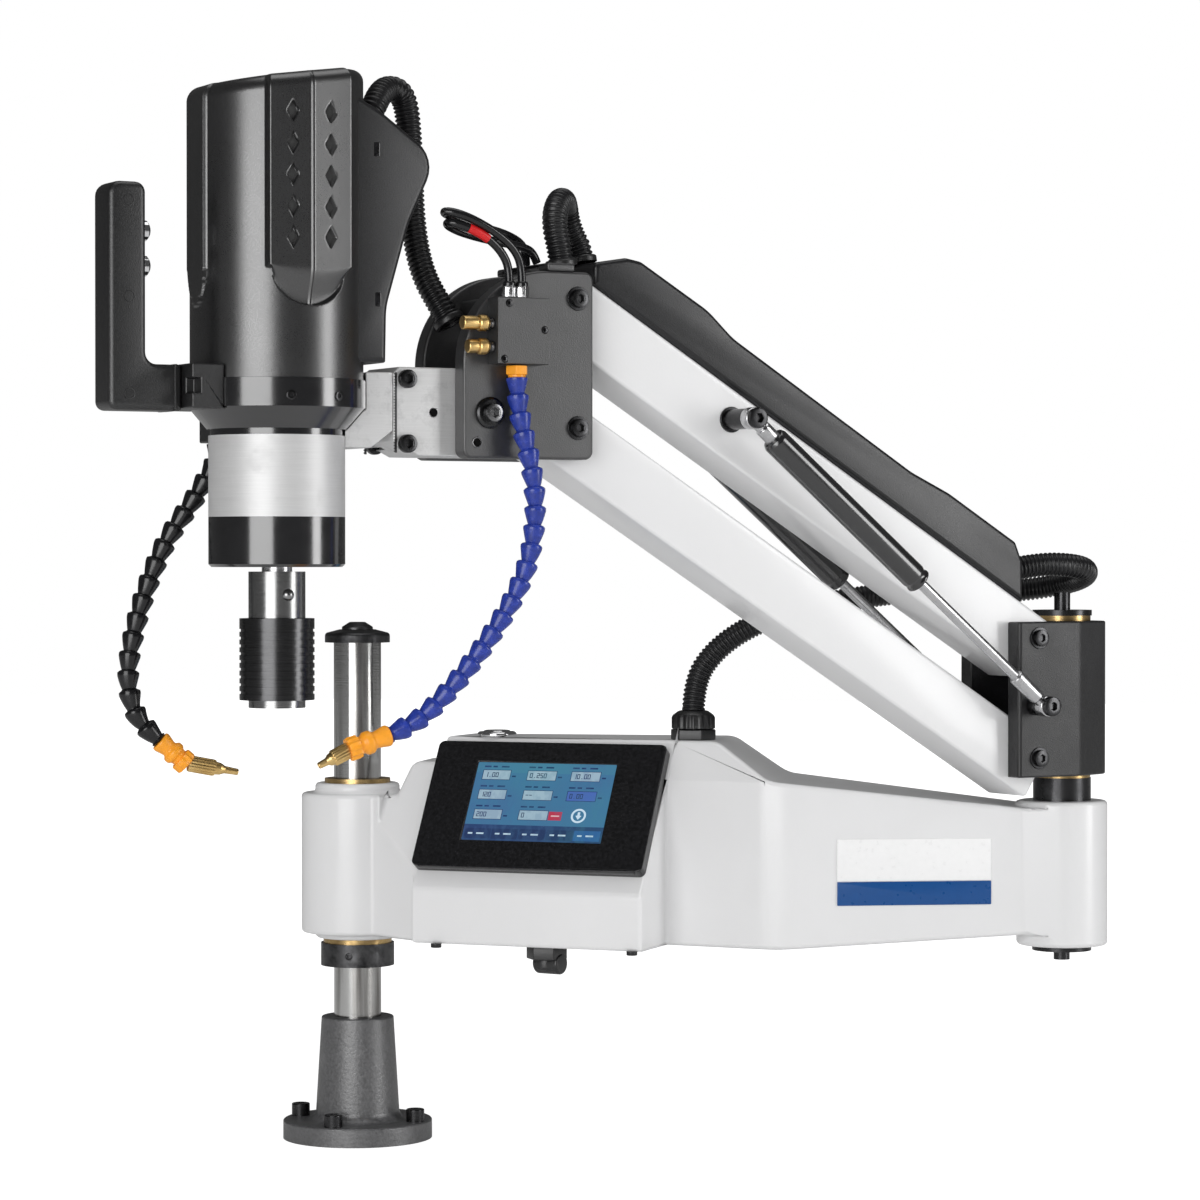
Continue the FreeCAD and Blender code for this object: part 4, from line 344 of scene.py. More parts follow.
def side_slab(corners, low, high, edge=1.0, place=arm_frame, steps=3):
    """A slab whose outline stands upright in (u, z) and whose thickness runs across, along v."""
    return grid(slab(corners, low, high, edge, steps)[..., [0, 2, 1]], place=place)


def plan_slab(corners, low, high, edge=1.0, place=row_frame, steps=3):
    """A slab whose outline lies in plan and whose thickness runs upwards."""
    return grid(slab(corners, low, high, edge, steps), place=place)


def spline_line(route, spacing, place=arm_frame):
    """Points at even distances along the route's own NURBS spline."""
    curve = bpy.data.curves.new("route", "CURVE")
    curve.dimensions = "3D"
    curve.resolution_u = 24
    spline = curve.splines.new("NURBS")
    spline.points.add(len(route) - 1)
    points = np.column_stack([place(route), np.ones(len(route))])
    spline.points.foreach_set("co", points.ravel())
    spline.order_u = 3
    spline.use_endpoint_u = True
    holder = bpy.data.objects.new("route", curve)
    mesh = bpy.data.meshes.new_from_object(holder)
    line = np.zeros(len(mesh.vertices) * 3)
    mesh.vertices.foreach_get("co", line)
    line = line.reshape(-1, 3)
    bpy.data.objects.remove(holder)
    bpy.data.curves.remove(curve)
    bpy.data.meshes.remove(mesh)
    steps = np.concatenate([[0], np.cumsum(np.linalg.norm(np.diff(line, axis=0), axis=1))])
    keep = np.concatenate([[True], np.diff(steps) > 1e-9])
    at = np.linspace(0, steps[-1], max(2, int(round(steps[-1] / spacing)) + 1))
    return np.stack([np.interp(at, steps[keep], line[keep, i]) for i in range(3)], -1), at


def swept(line, radius, count=24):
    """A circle round each point of the line, square to it: centre + radius (cos a side + sin a up). Side is square
    to the direction in which the line runs least."""
    along = np.gradient(line, axis=0)
    along /= np.linalg.norm(along, axis=1, keepdims=True)
    least = np.linalg.svd(along)[2][2]
    side = np.cross(along, least)
    side /= np.linalg.norm(side, axis=1, keepdims=True)
    up = np.cross(side, along)
    a = circle_angles(count)[None, :, None]
    r = np.broadcast_to(np.asarray(radius, float), (len(line),))[:, None, None]
    return grid(line[:, None] + r * (np.cos(a) * side[:, None] + np.sin(a) * up[:, None]))


def shade(mesh, sharp):
    """Smooth faces with hard edges where the surface turns by more than the given angle."""
    mesh.polygons.foreach_set("use_smooth", np.ones(len(mesh.polygons), bool))
    mesh.set_sharp_from_angle(angle=math.radians(sharp))


def piece(name, surfaces, finish, body=None, replaces=(), sharp=36.0, slot=None):
    """One closed mesh from one or more surfaces in metres: seams and poles merged, faces outwards."""
    starts = np.cumsum([0] + [len(points) for points, _ in surfaces])
    faces = [[start + i for i in face] for start, (_, part) in zip(starts, surfaces) for face in part]
    mesh = bpy.data.meshes.new(name)
    mesh.from_pydata(np.concatenate([points for points, _ in surfaces]), [], faces)
    work = bmesh.new()
    work.from_mesh(mesh)
    bmesh.ops.remove_doubles(work, verts=work.verts, dist=4e-6)
    bmesh.ops.dissolve_degenerate(work, edges=work.edges, dist=2e-6)
    bmesh.ops.recalc_face_normals(work, faces=work.faces)
    work.to_mesh(mesh)
    work.free()
    shade(mesh, sharp)
    return fitted(bpy.data.objects.new(name, mesh), finish, body, replaces, slot)


def fitted(obj, finish, body=None, replaces=(), slot=None):
    """Links a finished object, gives it its material and its body, and hides the nodes it stands for."""
    bpy.context.scene.collection.objects.link(obj)
    obj.data.materials.clear()
    obj.data.materials.append(material(finish))
    if body:
        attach(obj, body)
    slot or SLOTS.get(finish, finish)
    if replaces:
        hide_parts(*replaces)
    return obj


def softened(name, node, edge, finish, body, segments=3):
    """A CAD node's copy with its triangles merged, its flat faces joined and its sharp edges rounded."""
    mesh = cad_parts[node].data.copy()
    mesh.name = name
    work = bmesh.new()
    work.from_mesh(mesh)
    bmesh.ops.remove_doubles(work, verts=work.verts, dist=2e-6)
    bmesh.ops.dissolve_limit(work, angle_limit=math.radians(0.6), verts=work.verts, edges=work.edges)
    work.to_mesh(mesh)
    work.free()
    shade(mesh, 40.0)
    obj = fitted(bpy.data.objects.new(name, mesh), finish, body, (node,))
    bevel = obj.modifiers.new("Rounded edges", "BEVEL")
    bevel.width = edge
    bevel.segments = segments
    bevel.limit_method = "ANGLE"
    bevel.angle_limit = math.radians(30)
    bevel.use_clamp_overlap = False
    normals = obj.modifiers.new("Flat faces stay flat", "WEIGHTED_NORMAL")
    normals.weight = 100
    normals.keep_sharp = True


def dress(finish, *nodes):
    """Gives CAD nodes that stay as they are their finish."""
    for node in nodes:
        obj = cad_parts[node]
        for place in obj.material_slots:
            place.material = material(finish)
        if not obj.material_slots:
            obj.data.materials.append(material(finish))


# ---------------------------------------------------------------- shader maths
def maths(operation, reflected=False):
    """An operator that adds one Math node; reflected, the other value comes first."""
    def act(self, other=0.0):
        node = self.tree.nodes.new("ShaderNodeMath")
        node.operation = operation
        for place, value in zip(node.inputs, (other, self) if reflected else (self, other)):
            if isinstance(value, Field):
                self.tree.links.new(value.socket, place)
            else:
                place.default_value = value
        return Field(self.tree, node.outputs[0])
    return act


class Field:
    """A socket in an expression: each operator on it adds one Math node."""
    __add__, __radd__ = maths("ADD"), maths("ADD", True)
    __sub__, __rsub__ = maths("SUBTRACT"), maths("SUBTRACT", True)
    __mul__, __rmul__ = maths("MULTIPLY"), maths("MULTIPLY", True)
    __truediv__, __rtruediv__ = maths("DIVIDE"), maths("DIVIDE", True)
    __gt__, __lt__, __abs__ = maths("GREATER_THAN"), maths("LESS_THAN"), maths("ABSOLUTE")

    def __init__(self, tree, socket):
        self.tree = tree
        self.socket = socket


class Finish:
    """One material under construction. Uniform values go on the shader's own sockets."""

    def __init__(self, name, **uniform):
        self.material = bpy.data.materials.new(name)
        self.material.use_nodes = True
        self.tree = self.material.node_tree
        self.shader = next(n for n in self.tree.nodes if n.type == "BSDF_PRINCIPLED")
        for key, value in uniform.items():
            name_of = key.replace("_", " ").title().replace("Ior", "IOR")
            socket = self.shader.inputs[name_of]
            socket.default_value = (*value, 1.0) if hasattr(value, "__len__") and len(value) == 3 else value

    @staticmethod
    def _find(sockets, key):
        return next(s for s in sockets if key in (s.identifier, s.name))

    def node(self, kind, settings=None, inputs=None, output=0):
        """Adds any node: its settings first, then the values or links of its sockets."""
        node = self.tree.nodes.new(kind)
        for key, value in (settings or {}).items():
            if key == "stops":
                ramp = node.color_ramp
                while len(ramp.elements) < len(value):
                    ramp.elements.new(0.5)
                for element, (position, level) in zip(ramp.elements, value):
                    element.position = position
                    element.color = (level, level, level, 1) if not hasattr(level, "__len__") else (*level, 1)
            else:
                setattr(node, key, value)
        for key, value in (inputs or {}).items():
            socket = self._find(node.inputs, key)
            if isinstance(value, Field):
                self.tree.links.new(value.socket, socket)
            else:
                socket.default_value = value
        found = node.outputs[output] if isinstance(output, int) else self._find(node.outputs, output)
        return Field(self.tree, found)

    def feed(self, socket, value):
        self.tree.links.new(value.socket, self.shader.inputs[socket])

    def place(self, stretch=(1, 1, 1)):
        """Object coordinates, stretched."""
        where = self.node("ShaderNodeTexCoord", output="Object")
        if stretch == (1, 1, 1):
            return where
        return self.node("ShaderNodeMapping", {}, {"Vector": where, "Scale": stretch})

    def noise(self, scale, detail=2.0, stretch=(1, 1, 1), rough=0.5):
        """Noise of so many cycles a metre."""
        return self.node("ShaderNodeTexNoise", {"noise_dimensions": "3D"},
                         {"Vector": self.place(stretch), "Scale": scale, "Detail": detail, "Roughness": rough})

    def ramp(self, value, *stops):
        return self.node("ShaderNodeValToRGB", {"stops": stops}, {"Fac": value})

    def mix(self, factor, first, second):
        """A colour between two colours."""
        pair = {"A_Color": first, "B_Color": second}
        pair = {k: v if isinstance(v, Field) else (*v, 1.0) for k, v in pair.items()}
        return self.node("ShaderNodeMix", {"data_type": "RGBA"}, {"Factor_Float": factor, **pair}, "Result_Color")

    def bump(self, height, depth):
        """A Bump node on the normal: depth in metres."""
        self.feed("Normal", self.node("ShaderNodeBump", {}, {"Height": height, "Distance": depth, "Strength": 1.0}))


def shaded(colour, factor):
    """A colour made lighter or darker by a factor."""
    return tuple(min(1.0, c * factor) for c in colour)


def powder_coat(name, colour, roughness, coat, peel, mottle=0.04, speck=0.0, gloss=0.5, ior=1.5):
    """Powder coat: a fine orange-peel bump, slight tone changes over hand widths, and dust in the texture."""
    f = Finish(name, base_color=colour, roughness=roughness, coat_roughness=0.12, specular_ior_level=gloss, ior=ior)
    cloud = f.noise(9, 3)
    tone = f.mix(f.ramp(cloud, (0.35, 0.0), (0.65, 1.0)), shaded(colour, 1 - mottle), shaded(colour, 1 + mottle))
    if speck:
        dust = f.ramp(f.noise(1500, 1), (0.62, 0.0), (0.74, 1.0))
        tone = f.mix(dust * speck, tone, shaded(colour, 5.0))
    f.feed("Base Color", tone)
    f.feed("Roughness", roughness + (f.noise(60, 3) - 0.5) * 0.12)
    f.feed("Coat Weight", coat + (cloud - 0.5) * 0.1)
    f.bump(f.noise(peel[0], 2), peel[1])
    return f.material


def vent_shade_mask(f):
    """One inside the housing's diamond vent openings, for the painted shade inside them: 1 - |u - side| / a - |z -
    row| / b above 0, in rows one pitch apart.
    """
    where = f.place()
    x, y, z = (f.node("ShaderNodeSeparateXYZ", {}, {"Vector": where}, axis) for axis in "XYZ")
    c, s = math.cos(ARM_TURN), math.sin(ARM_TURN)
    ahead = (x - POST_X / 1000) * c + y * s - AXIS_U / 1000
    aside = abs(y * c - (x - POST_X / 1000) * s)
    row = f.node("ShaderNodeMath", {"operation": "PINGPONG"}, {"Value": z - 0.7275, "Value_001": 0.01067})
    inside = 1 - abs(abs(ahead) - 0.01428) / 0.0044 - row / 0.0077
    return (inside > 0.05) * (aside > 0.045) * (z > 0.675) * (z < 0.781)


def grained_moulding(name, colour, roughness, grain, depth, gloss=1.0, vent_shade=False, ior=1.5):
    """Spark-eroded black moulding: fine grain, with the shine worn into broad patches, and, where asked, painted shade
    in the diamond vent openings: near black and rougher there.
    """
    f = Finish(name, base_color=colour, specular_ior_level=gloss, ior=ior)
    wear = f.noise(14, 3)
    pits = f.noise(grain, 2, rough=0.6)
    tone = f.mix(f.ramp(pits, (0.35, 0.0), (0.7, 1.0)), shaded(colour, 0.6), shaded(colour, 1.7))
    rough = roughness + (wear - 0.5) * 0.12 + (pits - 0.5) * 0.2
    if vent_shade:
        # Painted shade: the diamond vent openings are darkened to near black and made rougher.
        dark = vent_shade_mask(f)
        tone, rough = f.mix(dark, tone, (0.0015, 0.0015, 0.0015)), rough + dark * 0.6
    f.feed("Base Color", tone)
    f.feed("Roughness", rough)
    f.bump(pits, depth)
    return f.material


def bare_metal(name, colour, roughness, stretch=(1, 1, 1), lines=900, wear=0.25, stain=None):
    """Bare metal: fine tool marks in one direction, and patches where handling has dulled or stained it."""
    f = Finish(name, base_color=colour, metallic=1.0)
    marks = f.noise(lines, 2, stretch)
    patches = f.ramp(f.noise(55, 4, rough=0.65), (0.42, 0.0), (0.68, 1.0))
    f.feed("Base Color", f.mix(patches * (0.9 if stain else 0.5), colour, stain or shaded(colour, 0.72)))
    f.feed("Roughness", roughness + (marks - 0.5) * 0.12 + patches * wear)
    f.bump(marks, 0.00003)
    return f.material


def ground_steel(name, colour):
    """The ground column: mirror steel with long dull streaks down it and fine grinding rings."""
    f = Finish(name, base_color=colour, metallic=1.0)
    streaks = f.ramp(f.noise(65, 3, (1, 1, 0.05), rough=0.6), (0.46, 0.0), (0.64, 1.0))
    rings = f.noise(2600, 2, (0.02, 0.02, 1))
    f.feed("Base Color", f.mix(streaks, (0.60, 0.60, 0.59), (0.24, 0.23, 0.22)))
    f.feed("Roughness", 0.14 + streaks * 0.12 + (rings - 0.5) * 0.06)
    f.bump(rings, 0.00002)
    return f.material


def satin_metal(name, colour, roughness, metallic, smudge):
    """Satin metal: faint brushing round it and darker smudges where it is handled."""
    f = Finish(name, base_color=colour, metallic=metallic, specular_ior_level=0.6)
    dirt = f.ramp(f.noise(48, 5, rough=0.7), (0.52, 0.0), (0.70, 1.0))
    brushed = f.noise(1200, 2, (0.03, 0.03, 1))
    tone = f.mix(brushed, shaded(colour, 0.92), shaded(colour, 1.08))
    f.feed("Base Color", f.mix(dirt * smudge, tone, shaded(colour, 0.3)))
    f.feed("Roughness", roughness + (brushed - 0.5) * 0.1 + dirt * 0.12)
    f.bump(brushed, 0.00002)
    return f.material


def chuck_steel(name, colour, band, low=0.0, high=0.0):
    """Turned steel with fine rings: the band between two heights has its own tone."""
    f = Finish(name, base_color=colour, metallic=1.0)
    rings = f.noise(3000, 2, (0.03, 0.03, 1))
    z = f.node("ShaderNodeSeparateXYZ", {}, {"Vector": f.place()}, "Z")
    tone = f.mix(rings, shaded(colour, 0.85), shaded(colour, 1.15))
    f.feed("Base Color", f.mix((z > low) * (z < high), tone, band))
    f.feed("Roughness", 0.24 + (rings - 0.5) * 0.1 + (f.noise(70, 3) - 0.5) * 0.1)
    f.bump(rings, 0.00003)
    return f.material


def dark_casting(name, colour):
    """Painted grey iron: sand-cast grain under satin paint, with pale rub marks."""
    f = Finish(name, base_color=colour, specular_ior_level=1.0, ior=1.7)
    grain = f.noise(420, 3, rough=0.6)
    rub = f.ramp(f.noise(30, 4, rough=0.7), (0.55, 0.0), (0.72, 1.0))
    tone = f.mix(f.ramp(grain, (0.3, 0.0), (0.7, 1.0)), (0.035, 0.035, 0.037), (0.10, 0.10, 0.104))
    f.feed("Base Color", f.mix(rub * 0.4, tone, (0.17, 0.17, 0.175)))
    f.feed("Roughness", 0.42 + (grain - 0.5) * 0.3)
    f.bump(grain, 0.00028)
    return f.material


def lit_screen(name, colour):
    """The lit display under its glass: the painted cells give off their own colour."""
    f = Finish(name, base_color=colour, roughness=0.14, emission_strength=1.0)
    cells = f.node("ShaderNodeAttribute", {"attribute_name": "cell_colour"}, output="Color")
    weave = f.ramp(f.noise(160, 2, (1, 1, 0.3)), (0.44, 0.0), (0.56, 1.0))
    tint = f.mix(f.ramp(f.noise(14, 1), (0.40, 0.0), (0.60, 1.0)), (0.055, 0.11, 0.27), (0.05, 0.20, 0.28))
    f.feed("Emission Color", f.mix(weave * 0.18 + 0.16, cells, tint))
    return f.material


def screen_mark(name, colour):
    """The pale round mark on the display."""
    f = Finish(name, base_color=colour, roughness=0.2, emission_strength=1.0)
    glow = f.noise(300, 1)
    f.feed("Emission Color", f.mix(glow, (0.50, 0.66, 0.78), (0.62, 0.76, 0.85)))
    return f.material


def hose_plastic(name, colour, roughness=0.3, streak=0.18):
    """Glossy acetal segments with faint flow marks."""
    f = Finish(name, base_color=colour, specular_ior_level=0.5)
    flow = f.noise(240, 3)
    f.feed("Base Color", f.mix(f.ramp(flow, (0.35, 0.0), (0.65, 1.0)), shaded(colour, 1 - streak),
                               shaded(colour, 1 + streak)))
    f.feed("Roughness", roughness + (flow - 0.5) * 0.16)
    f.bump(f.noise(900, 2), 0.00004)
    return f.material


# Each finish: how it is made, its material's name, its colour (or the name of a user's setting) and the rest.
FINISHES = {
    "white_paint": (powder_coat, "white powder coat", "white_paint", 0.34, 0.45, (520, 0.00004), 0.012),
    "black_paint": (powder_coat, "black textured coat", "black_paint", 0.44, 0.05, (1300, 0.00016), 0.25, 0.10, 1.0,
                    1.6),
    "block_paint": (powder_coat, "black block coat", "black_paint", 0.40, 0.0, (1300, 0.00018), 0.35, 0.12, 0.6),
    "satin_black": (powder_coat, "gloss black anodised", (0.008, 0.008, 0.009), 0.17, 0.5, (900, 0.00001), 0.1, 0.0,
                    1.0),
    "spring_black": (powder_coat, "gloss black cylinder", (0.010, 0.010, 0.011), 0.20, 0.7, (300, 0.00002), 0.15, 0.0,
                     0.8),
    # The couplings are black paint: their light grey satin metal partly reflects the lamps and partly paints a sheen
    # on their faces.
    "painted_sheen_satin": (satin_metal, "satin coupling", (0.66, 0.66, 0.66), 0.36, 0.5, 0.35),
    "anodised": (satin_metal, "grey anodised band", (0.62, 0.62, 0.62), 0.5, 0.45, 0.04),
    "black_moulding": (grained_moulding, "grained black moulding", "black_moulding", 0.38, 1300, 0.00012, 0.8),
    "cover_moulding": (grained_moulding, "satin black cover", (0.010, 0.010, 0.011), 0.32, 1300, 0.00008, 0.5),
    # Matt near-black for discs that paint the shade inside holes.
    "shadow_black": (grained_moulding, "matt black recess", (0.003, 0.003, 0.003), 0.85, 900, 0.00002, 0.1),
    # The housing moulding paints the shade inside its diamond vent openings.
    "housing_moulding": (grained_moulding, "fine black moulding", "black_moulding", 0.31, 1700, 0.00004, 1.0, True,
                         1.65),
    "gloss_black": (grained_moulding, "gloss black moulding", (0.008, 0.008, 0.009), 0.16, 400, 0.00001, 0.6),
    "dark_casting": (dark_casting, "dark casting", (0.06, 0.06, 0.063)),
    "column_steel": (ground_steel, "ground steel", (0.6, 0.6, 0.6)),
    "blackened_steel": (bare_metal, "black oxide steel", (0.11, 0.11, 0.113), 0.34, (0.05, 0.05, 1), 1800, 0.18,
                        (0.02, 0.02, 0.021)),
    "chuck_body": (chuck_steel, "turned chuck steel", (0.30, 0.30, 0.30), (0.07, 0.07, 0.07), 0.411, 0.426),
    "chuck_sleeve": (chuck_steel, "black chuck steel", (0.07, 0.07, 0.072), (0.07, 0.07, 0.072)),
    "bright_steel": (bare_metal, "bright steel", (0.62, 0.62, 0.63), 0.20, (1, 1, 1), 1400, 0.14),
    "dark_steel": (bare_metal, "dark steel", (0.22, 0.22, 0.225), 0.22, (1, 1, 1), 1400, 0.14),
    "chrome": (bare_metal, "chrome", (0.80, 0.80, 0.81), 0.08, (1, 1, 1), 600, 0.10),
    "bronze": (bare_metal, "bronze", (0.60, 0.42, 0.19), 0.26, (0.1, 0.1, 1), 1500, 0.18, (0.30, 0.20, 0.09)),
    "brass": (bare_metal, "turned brass", (0.86, 0.60, 0.25), 0.30, (1, 1, 1), 1700, 0.12, (0.62, 0.40, 0.14)),
    "screw_black": (bare_metal, "black screws", (0.06, 0.06, 0.062), 0.24, (1, 1, 1), 1800, 0.14),
    "electronics": (bare_metal, "inner units", (0.50, 0.50, 0.52), 0.38, (1, 1, 1), 700, 0.1),
    "conduit_black": (hose_plastic, "black conduit", (0.012, 0.012, 0.013), 0.30),
    "hose_blue": (hose_plastic, "blue hose segments", "blue_hose", 0.26),
    "hose_black": (hose_plastic, "black hose segments", (0.008, 0.008, 0.009), 0.20),
    "hose_orange": (hose_plastic, "orange fittings", "orange_fitting", 0.34, 0.05),
    "air_tube": (hose_plastic, "black air tube", (0.008, 0.008, 0.009), 0.16),
    "red_sleeve": (hose_plastic, "red sleeve", (0.60, 0.008, 0.010), 0.35, 0.05),
    "plate_white": (hose_plastic, "white plate", (0.93, 0.93, 0.93), 0.30, 0.01),
    "plate_band": (hose_plastic, "blue plate band", "plate_band", 0.30, 0.04),
    "lit_screen": (lit_screen, "lit screen", (0.01, 0.012, 0.015)),
    "screen_mark": (screen_mark, "screen mark", (0.02, 0.02, 0.03)),
}
MADE = {}

# The record's slot of each finish whose own name isn't a slot.
SLOTS = {"plate_white": "white_paint", "plate_band": "hose_blue", "black_moulding": "polymer_black",
         "cover_moulding": "polymer_black", "housing_moulding": "polymer_black", "gloss_black": "bezel_black",
         "lit_screen": "screen", "screen_mark": "screen", "block_paint": "black_paint", "dark_steel": "bright_steel",
         "painted_sheen_satin": "black_paint", "shadow_black": "black_paint", "blackened_steel": "black_paint",
         "red_sleeve": "air_tube"}


def material(finish):
    """A finish's material, made the first time it is asked for."""
    if finish not in MADE:
        build, name, colour, *rest = FINISHES[finish]
        if isinstance(colour, str):
            colour = getattr(bpy.context.scene.tapping_machine_colours, colour)[:]
        MADE[finish] = build(name, colour, *rest)
    return MADE[finish]


# ---------------------------------------------------------------- operators
class TappingOperator(bpy.types.Operator):
    """One group of the machine's pieces."""
    bl_options = {"REGISTER", "UNDO"}

    def execute(self, context):
        self.build(context.scene)
        return {"FINISHED"}


class TAPPING_OT_stage(TappingOperator):
    """Camera, floor, softboxes and pale surroundings."""
    bl_idname = "tapping.stage"
    bl_label = "Stage"

    def build(self, scene):
        look = scene.tapping_machine_stage
        camera = bpy.data.cameras.new("camera")
        camera.lens, camera.sensor_width, camera.clip_end = look.lens, 36.0, 50
        scene.camera = self.hung(scene, camera, CAMERA_PLACE, CAMERA_TURN)
        scene.view_settings.view_transform = "Standard"
        for name, size, place, aim in SOFTBOXES:
            light = bpy.data.lights.new(f"{name} softbox", "AREA")
            light.energy = getattr(look, f"{name}_power")
            light.shape = "RECTANGLE"
            light.size, light.size_y = size
            away = np.subtract(place, aim)
            self.hung(scene, light, place, (math.acos(away[2] / np.linalg.norm(away)), 0,
                                            math.atan2(away[1], away[0]) + math.pi / 2))
        self.surroundings(scene, look)
        self.floor(scene)

    def hung(self, scene, data, place, turn):
        """Puts a camera or a lamp in its place."""
        obj = bpy.data.objects.new(data.name, data)
        obj.location, obj.rotation_euler = place, turn
        scene.collection.objects.link(obj)
        return obj

    def surroundings(self, scene, look):
        """White to the camera, and a level each to matt and to glossy surfaces."""
        world = bpy.data.worlds.new("pale surroundings")
        scene.world = world
        world.use_nodes = True
        tree = world.node_tree
        back = tree.nodes["Background"]
        back.inputs["Color"].default_value = (1, 1, 1, 1)
        path = tree.nodes.new("ShaderNodeLightPath")
        camera, through, spread = (Field(tree, path.outputs[f"Is {kind} Ray"])
                                   for kind in ("Camera", "Transmission", "Diffuse"))
        level = ((camera + through > 0.5) * (1 - look.world_gloss) + spread * (look.world_light - look.world_gloss)
                 + look.world_gloss)
        tree.links.new(level.socket, back.inputs["Strength"])

    def floor(self, scene):
        """A pale floor that keeps the shadow near the machine and glows white towards its edge."""
        at = np.linspace(-FLOOR_HALF, FLOOR_HALF, FLOOR_LINES)
        x, y = np.meshgrid(at, at)
        points, faces = grid(np.stack([x, y, 0 * x], -1), around=False)
        mesh = bpy.data.meshes.new("floor")
        mesh.from_pydata(points, [], faces)
        floor = bpy.data.objects.new("floor", mesh)
        scene.collection.objects.link(floor)
        f = Finish("pale floor", base_color=(0.86, 0.86, 0.86), roughness=0.7)
        f.feed("Base Color", f.mix(f.noise(3, 2), (0.84, 0.84, 0.84), (0.88, 0.88, 0.88)))
        glow = f.node("ShaderNodeEmission", {}, {"Color": (1, 1, 1, 1), "Strength": 1.3})
        ray = f.node("ShaderNodeLightPath", {}, {}, "Is Camera Ray")
        away = f.node("ShaderNodeVectorMath", {"operation": "DISTANCE"},
                      {"Vector": f.place(), "Vector_001": FLOOR_MIDDLE}, "Value")
        cover = f.ramp(away / 2.0, (0.25, 0.72), (0.9, 1.0))
        out = next(n for n in f.tree.nodes if n.type == "OUTPUT_MATERIAL")
        plain = Field(f.tree, f.shader.outputs[0])
        both = f.node("ShaderNodeMixShader", {}, {"Fac": ray * cover, "Shader": plain, "Shader_001": glow})
        f.tree.links.new(both.socket, out.inputs["Surface"])
        mesh.materials.append(f.material)


class TAPPING_OT_stand(TappingOperator):
    """Pedestal, column, collar and cap."""
    bl_idname = "tapping.stand"
    bl_label = "Stand"

    def build(self, scene):
        dress("dark_casting", "base_pedestal")
        dress("screw_black", "base_bolts")
        dress("column_steel", "column")
        dress("blackened_steel", "column_collar", "column_cap")
        dress("bronze", "column_thrust_ring")
        piece("collar_set_screw", [socket_head(2.9, 3.5, (0, -26, 148.6), (0, -1, 0), place=row_frame)],
              "screw_black", "base")


class TAPPING_OT_base_arm(TappingOperator):
    """The white base arm with its plate, button ring, cable glands and feet screws."""
    bl_idname = "tapping.base_arm"
    bl_label = "Base arm"

    def build(self, scene):
        edge = scene.tapping_machine_sizes.casting_edge
        softened("base_arm_shell", "base_arm_casting", edge, "white_paint", "base_arm")
        dress("white_paint", "box_bottom_cover")
        dress("electronics", "control_electronics")
        dress("column_steel", "rear_post")
        dress("bronze", "bronze_bushes")
        dress("screw_black", "post_fasteners")
        dress("chrome", "power_button")
        ring = [(11.4, 325), (15.6, 325), (15.6, 327.6), (14.2, 328.8), (12.6, 328.8), (11.4, 327.6)]
        piece("power_button_ring", [turned(ring, BUTTON_PLACE, UP, 0.5, row_frame, closed=True)], "chrome", "base_arm")
        for name, low, high in (("plate_upper", 219.0, 251.2), ("plate_band", 200.2, 218.4)):
            corners = ((46.3, low, 0.6), (166.9, low, 0.6), (166.9, high, 0.6), (46.3, high, 0.6))
            piece(name, [grid(slab(corners, -0.4, 0.9, 0.25, 2), place=self.arm_face)],
                  "plate_white" if name == "plate_upper" else name, "base_arm")
        self.glands()
        piece("box_cover_screws", [socket_head(4.2, 3.2, (x, y, 166.6), (0, 0, -1), place=row_frame)
                                   for x, y in ((84, -86), (244, -116), (232, -12), (96, -2))],
              "screw_black", "base_arm")

    @staticmethod
    def arm_face(points):
        """(along the arm's front face, height, proud of it) to the row frame."""
        run = np.array(ARM_FACE_RUN) / math.hypot(*ARM_FACE_RUN)
        flat = np.array(ARM_BEND) + points[..., :1] * run + points[..., 2:] * np.array([run[1], -run[0]])
        return np.concatenate([flat, points[..., 1:2]], -1) / 1000

    def glands(self):
        """A hexagon, a ribbed cap and a dome above, and a hexagon, a stem and an elbow below."""
        x, y = GLAND_UPPER
        dome = [(0, 347.9), (11.2, 347.9), (15.4, 345.0), (16.0, 341.5), (16.0, 333.5), (0, 333.5)]
        a = circle_angles(144)
        rib = 16.8 + 0.5 * np.cos(18 * a)
        cap = np.stack([np.stack([x + s * rib * np.cos(a), y + s * rib * np.sin(a), h + 0 * a], -1)
                        for s, h in ((0.9, 333.2), (1, 334.2), (1, 342.5), (0.92, 344.8), (0.9, 344.8))])
        stem = [(0, 146.6), (7.5, 146.6), (9.6, 148.6), (9.6, 155.4), (0, 155.4)]
        elbow = [(0, -9), (6.5, -9), (8.4, -7), (8.4, 13), (7.4, 14.4), (0, 14.4)]
        piece("cable_gland_dressed", [
            plan_slab(hexagon(x, y, 31 / math.sqrt(3), 1.2), 325, 333.2, 0.9),
            turned(dome, (x, y, 0), UP, 1.2, row_frame), grid(cap, place=row_frame),
            plan_slab(hexagon(*GLAND_LOWER, 28 / math.sqrt(3), 1.2), 155.3, 166.2, 0.9),
            turned(stem, (*GLAND_LOWER, 0), UP, 0.8, row_frame),
            turned(elbow, (*GLAND_LOWER, 152.0), (0.93, -0.37, 0), 1.0, row_frame)],
            "black_moulding", "base_arm", ("cable_glands",))


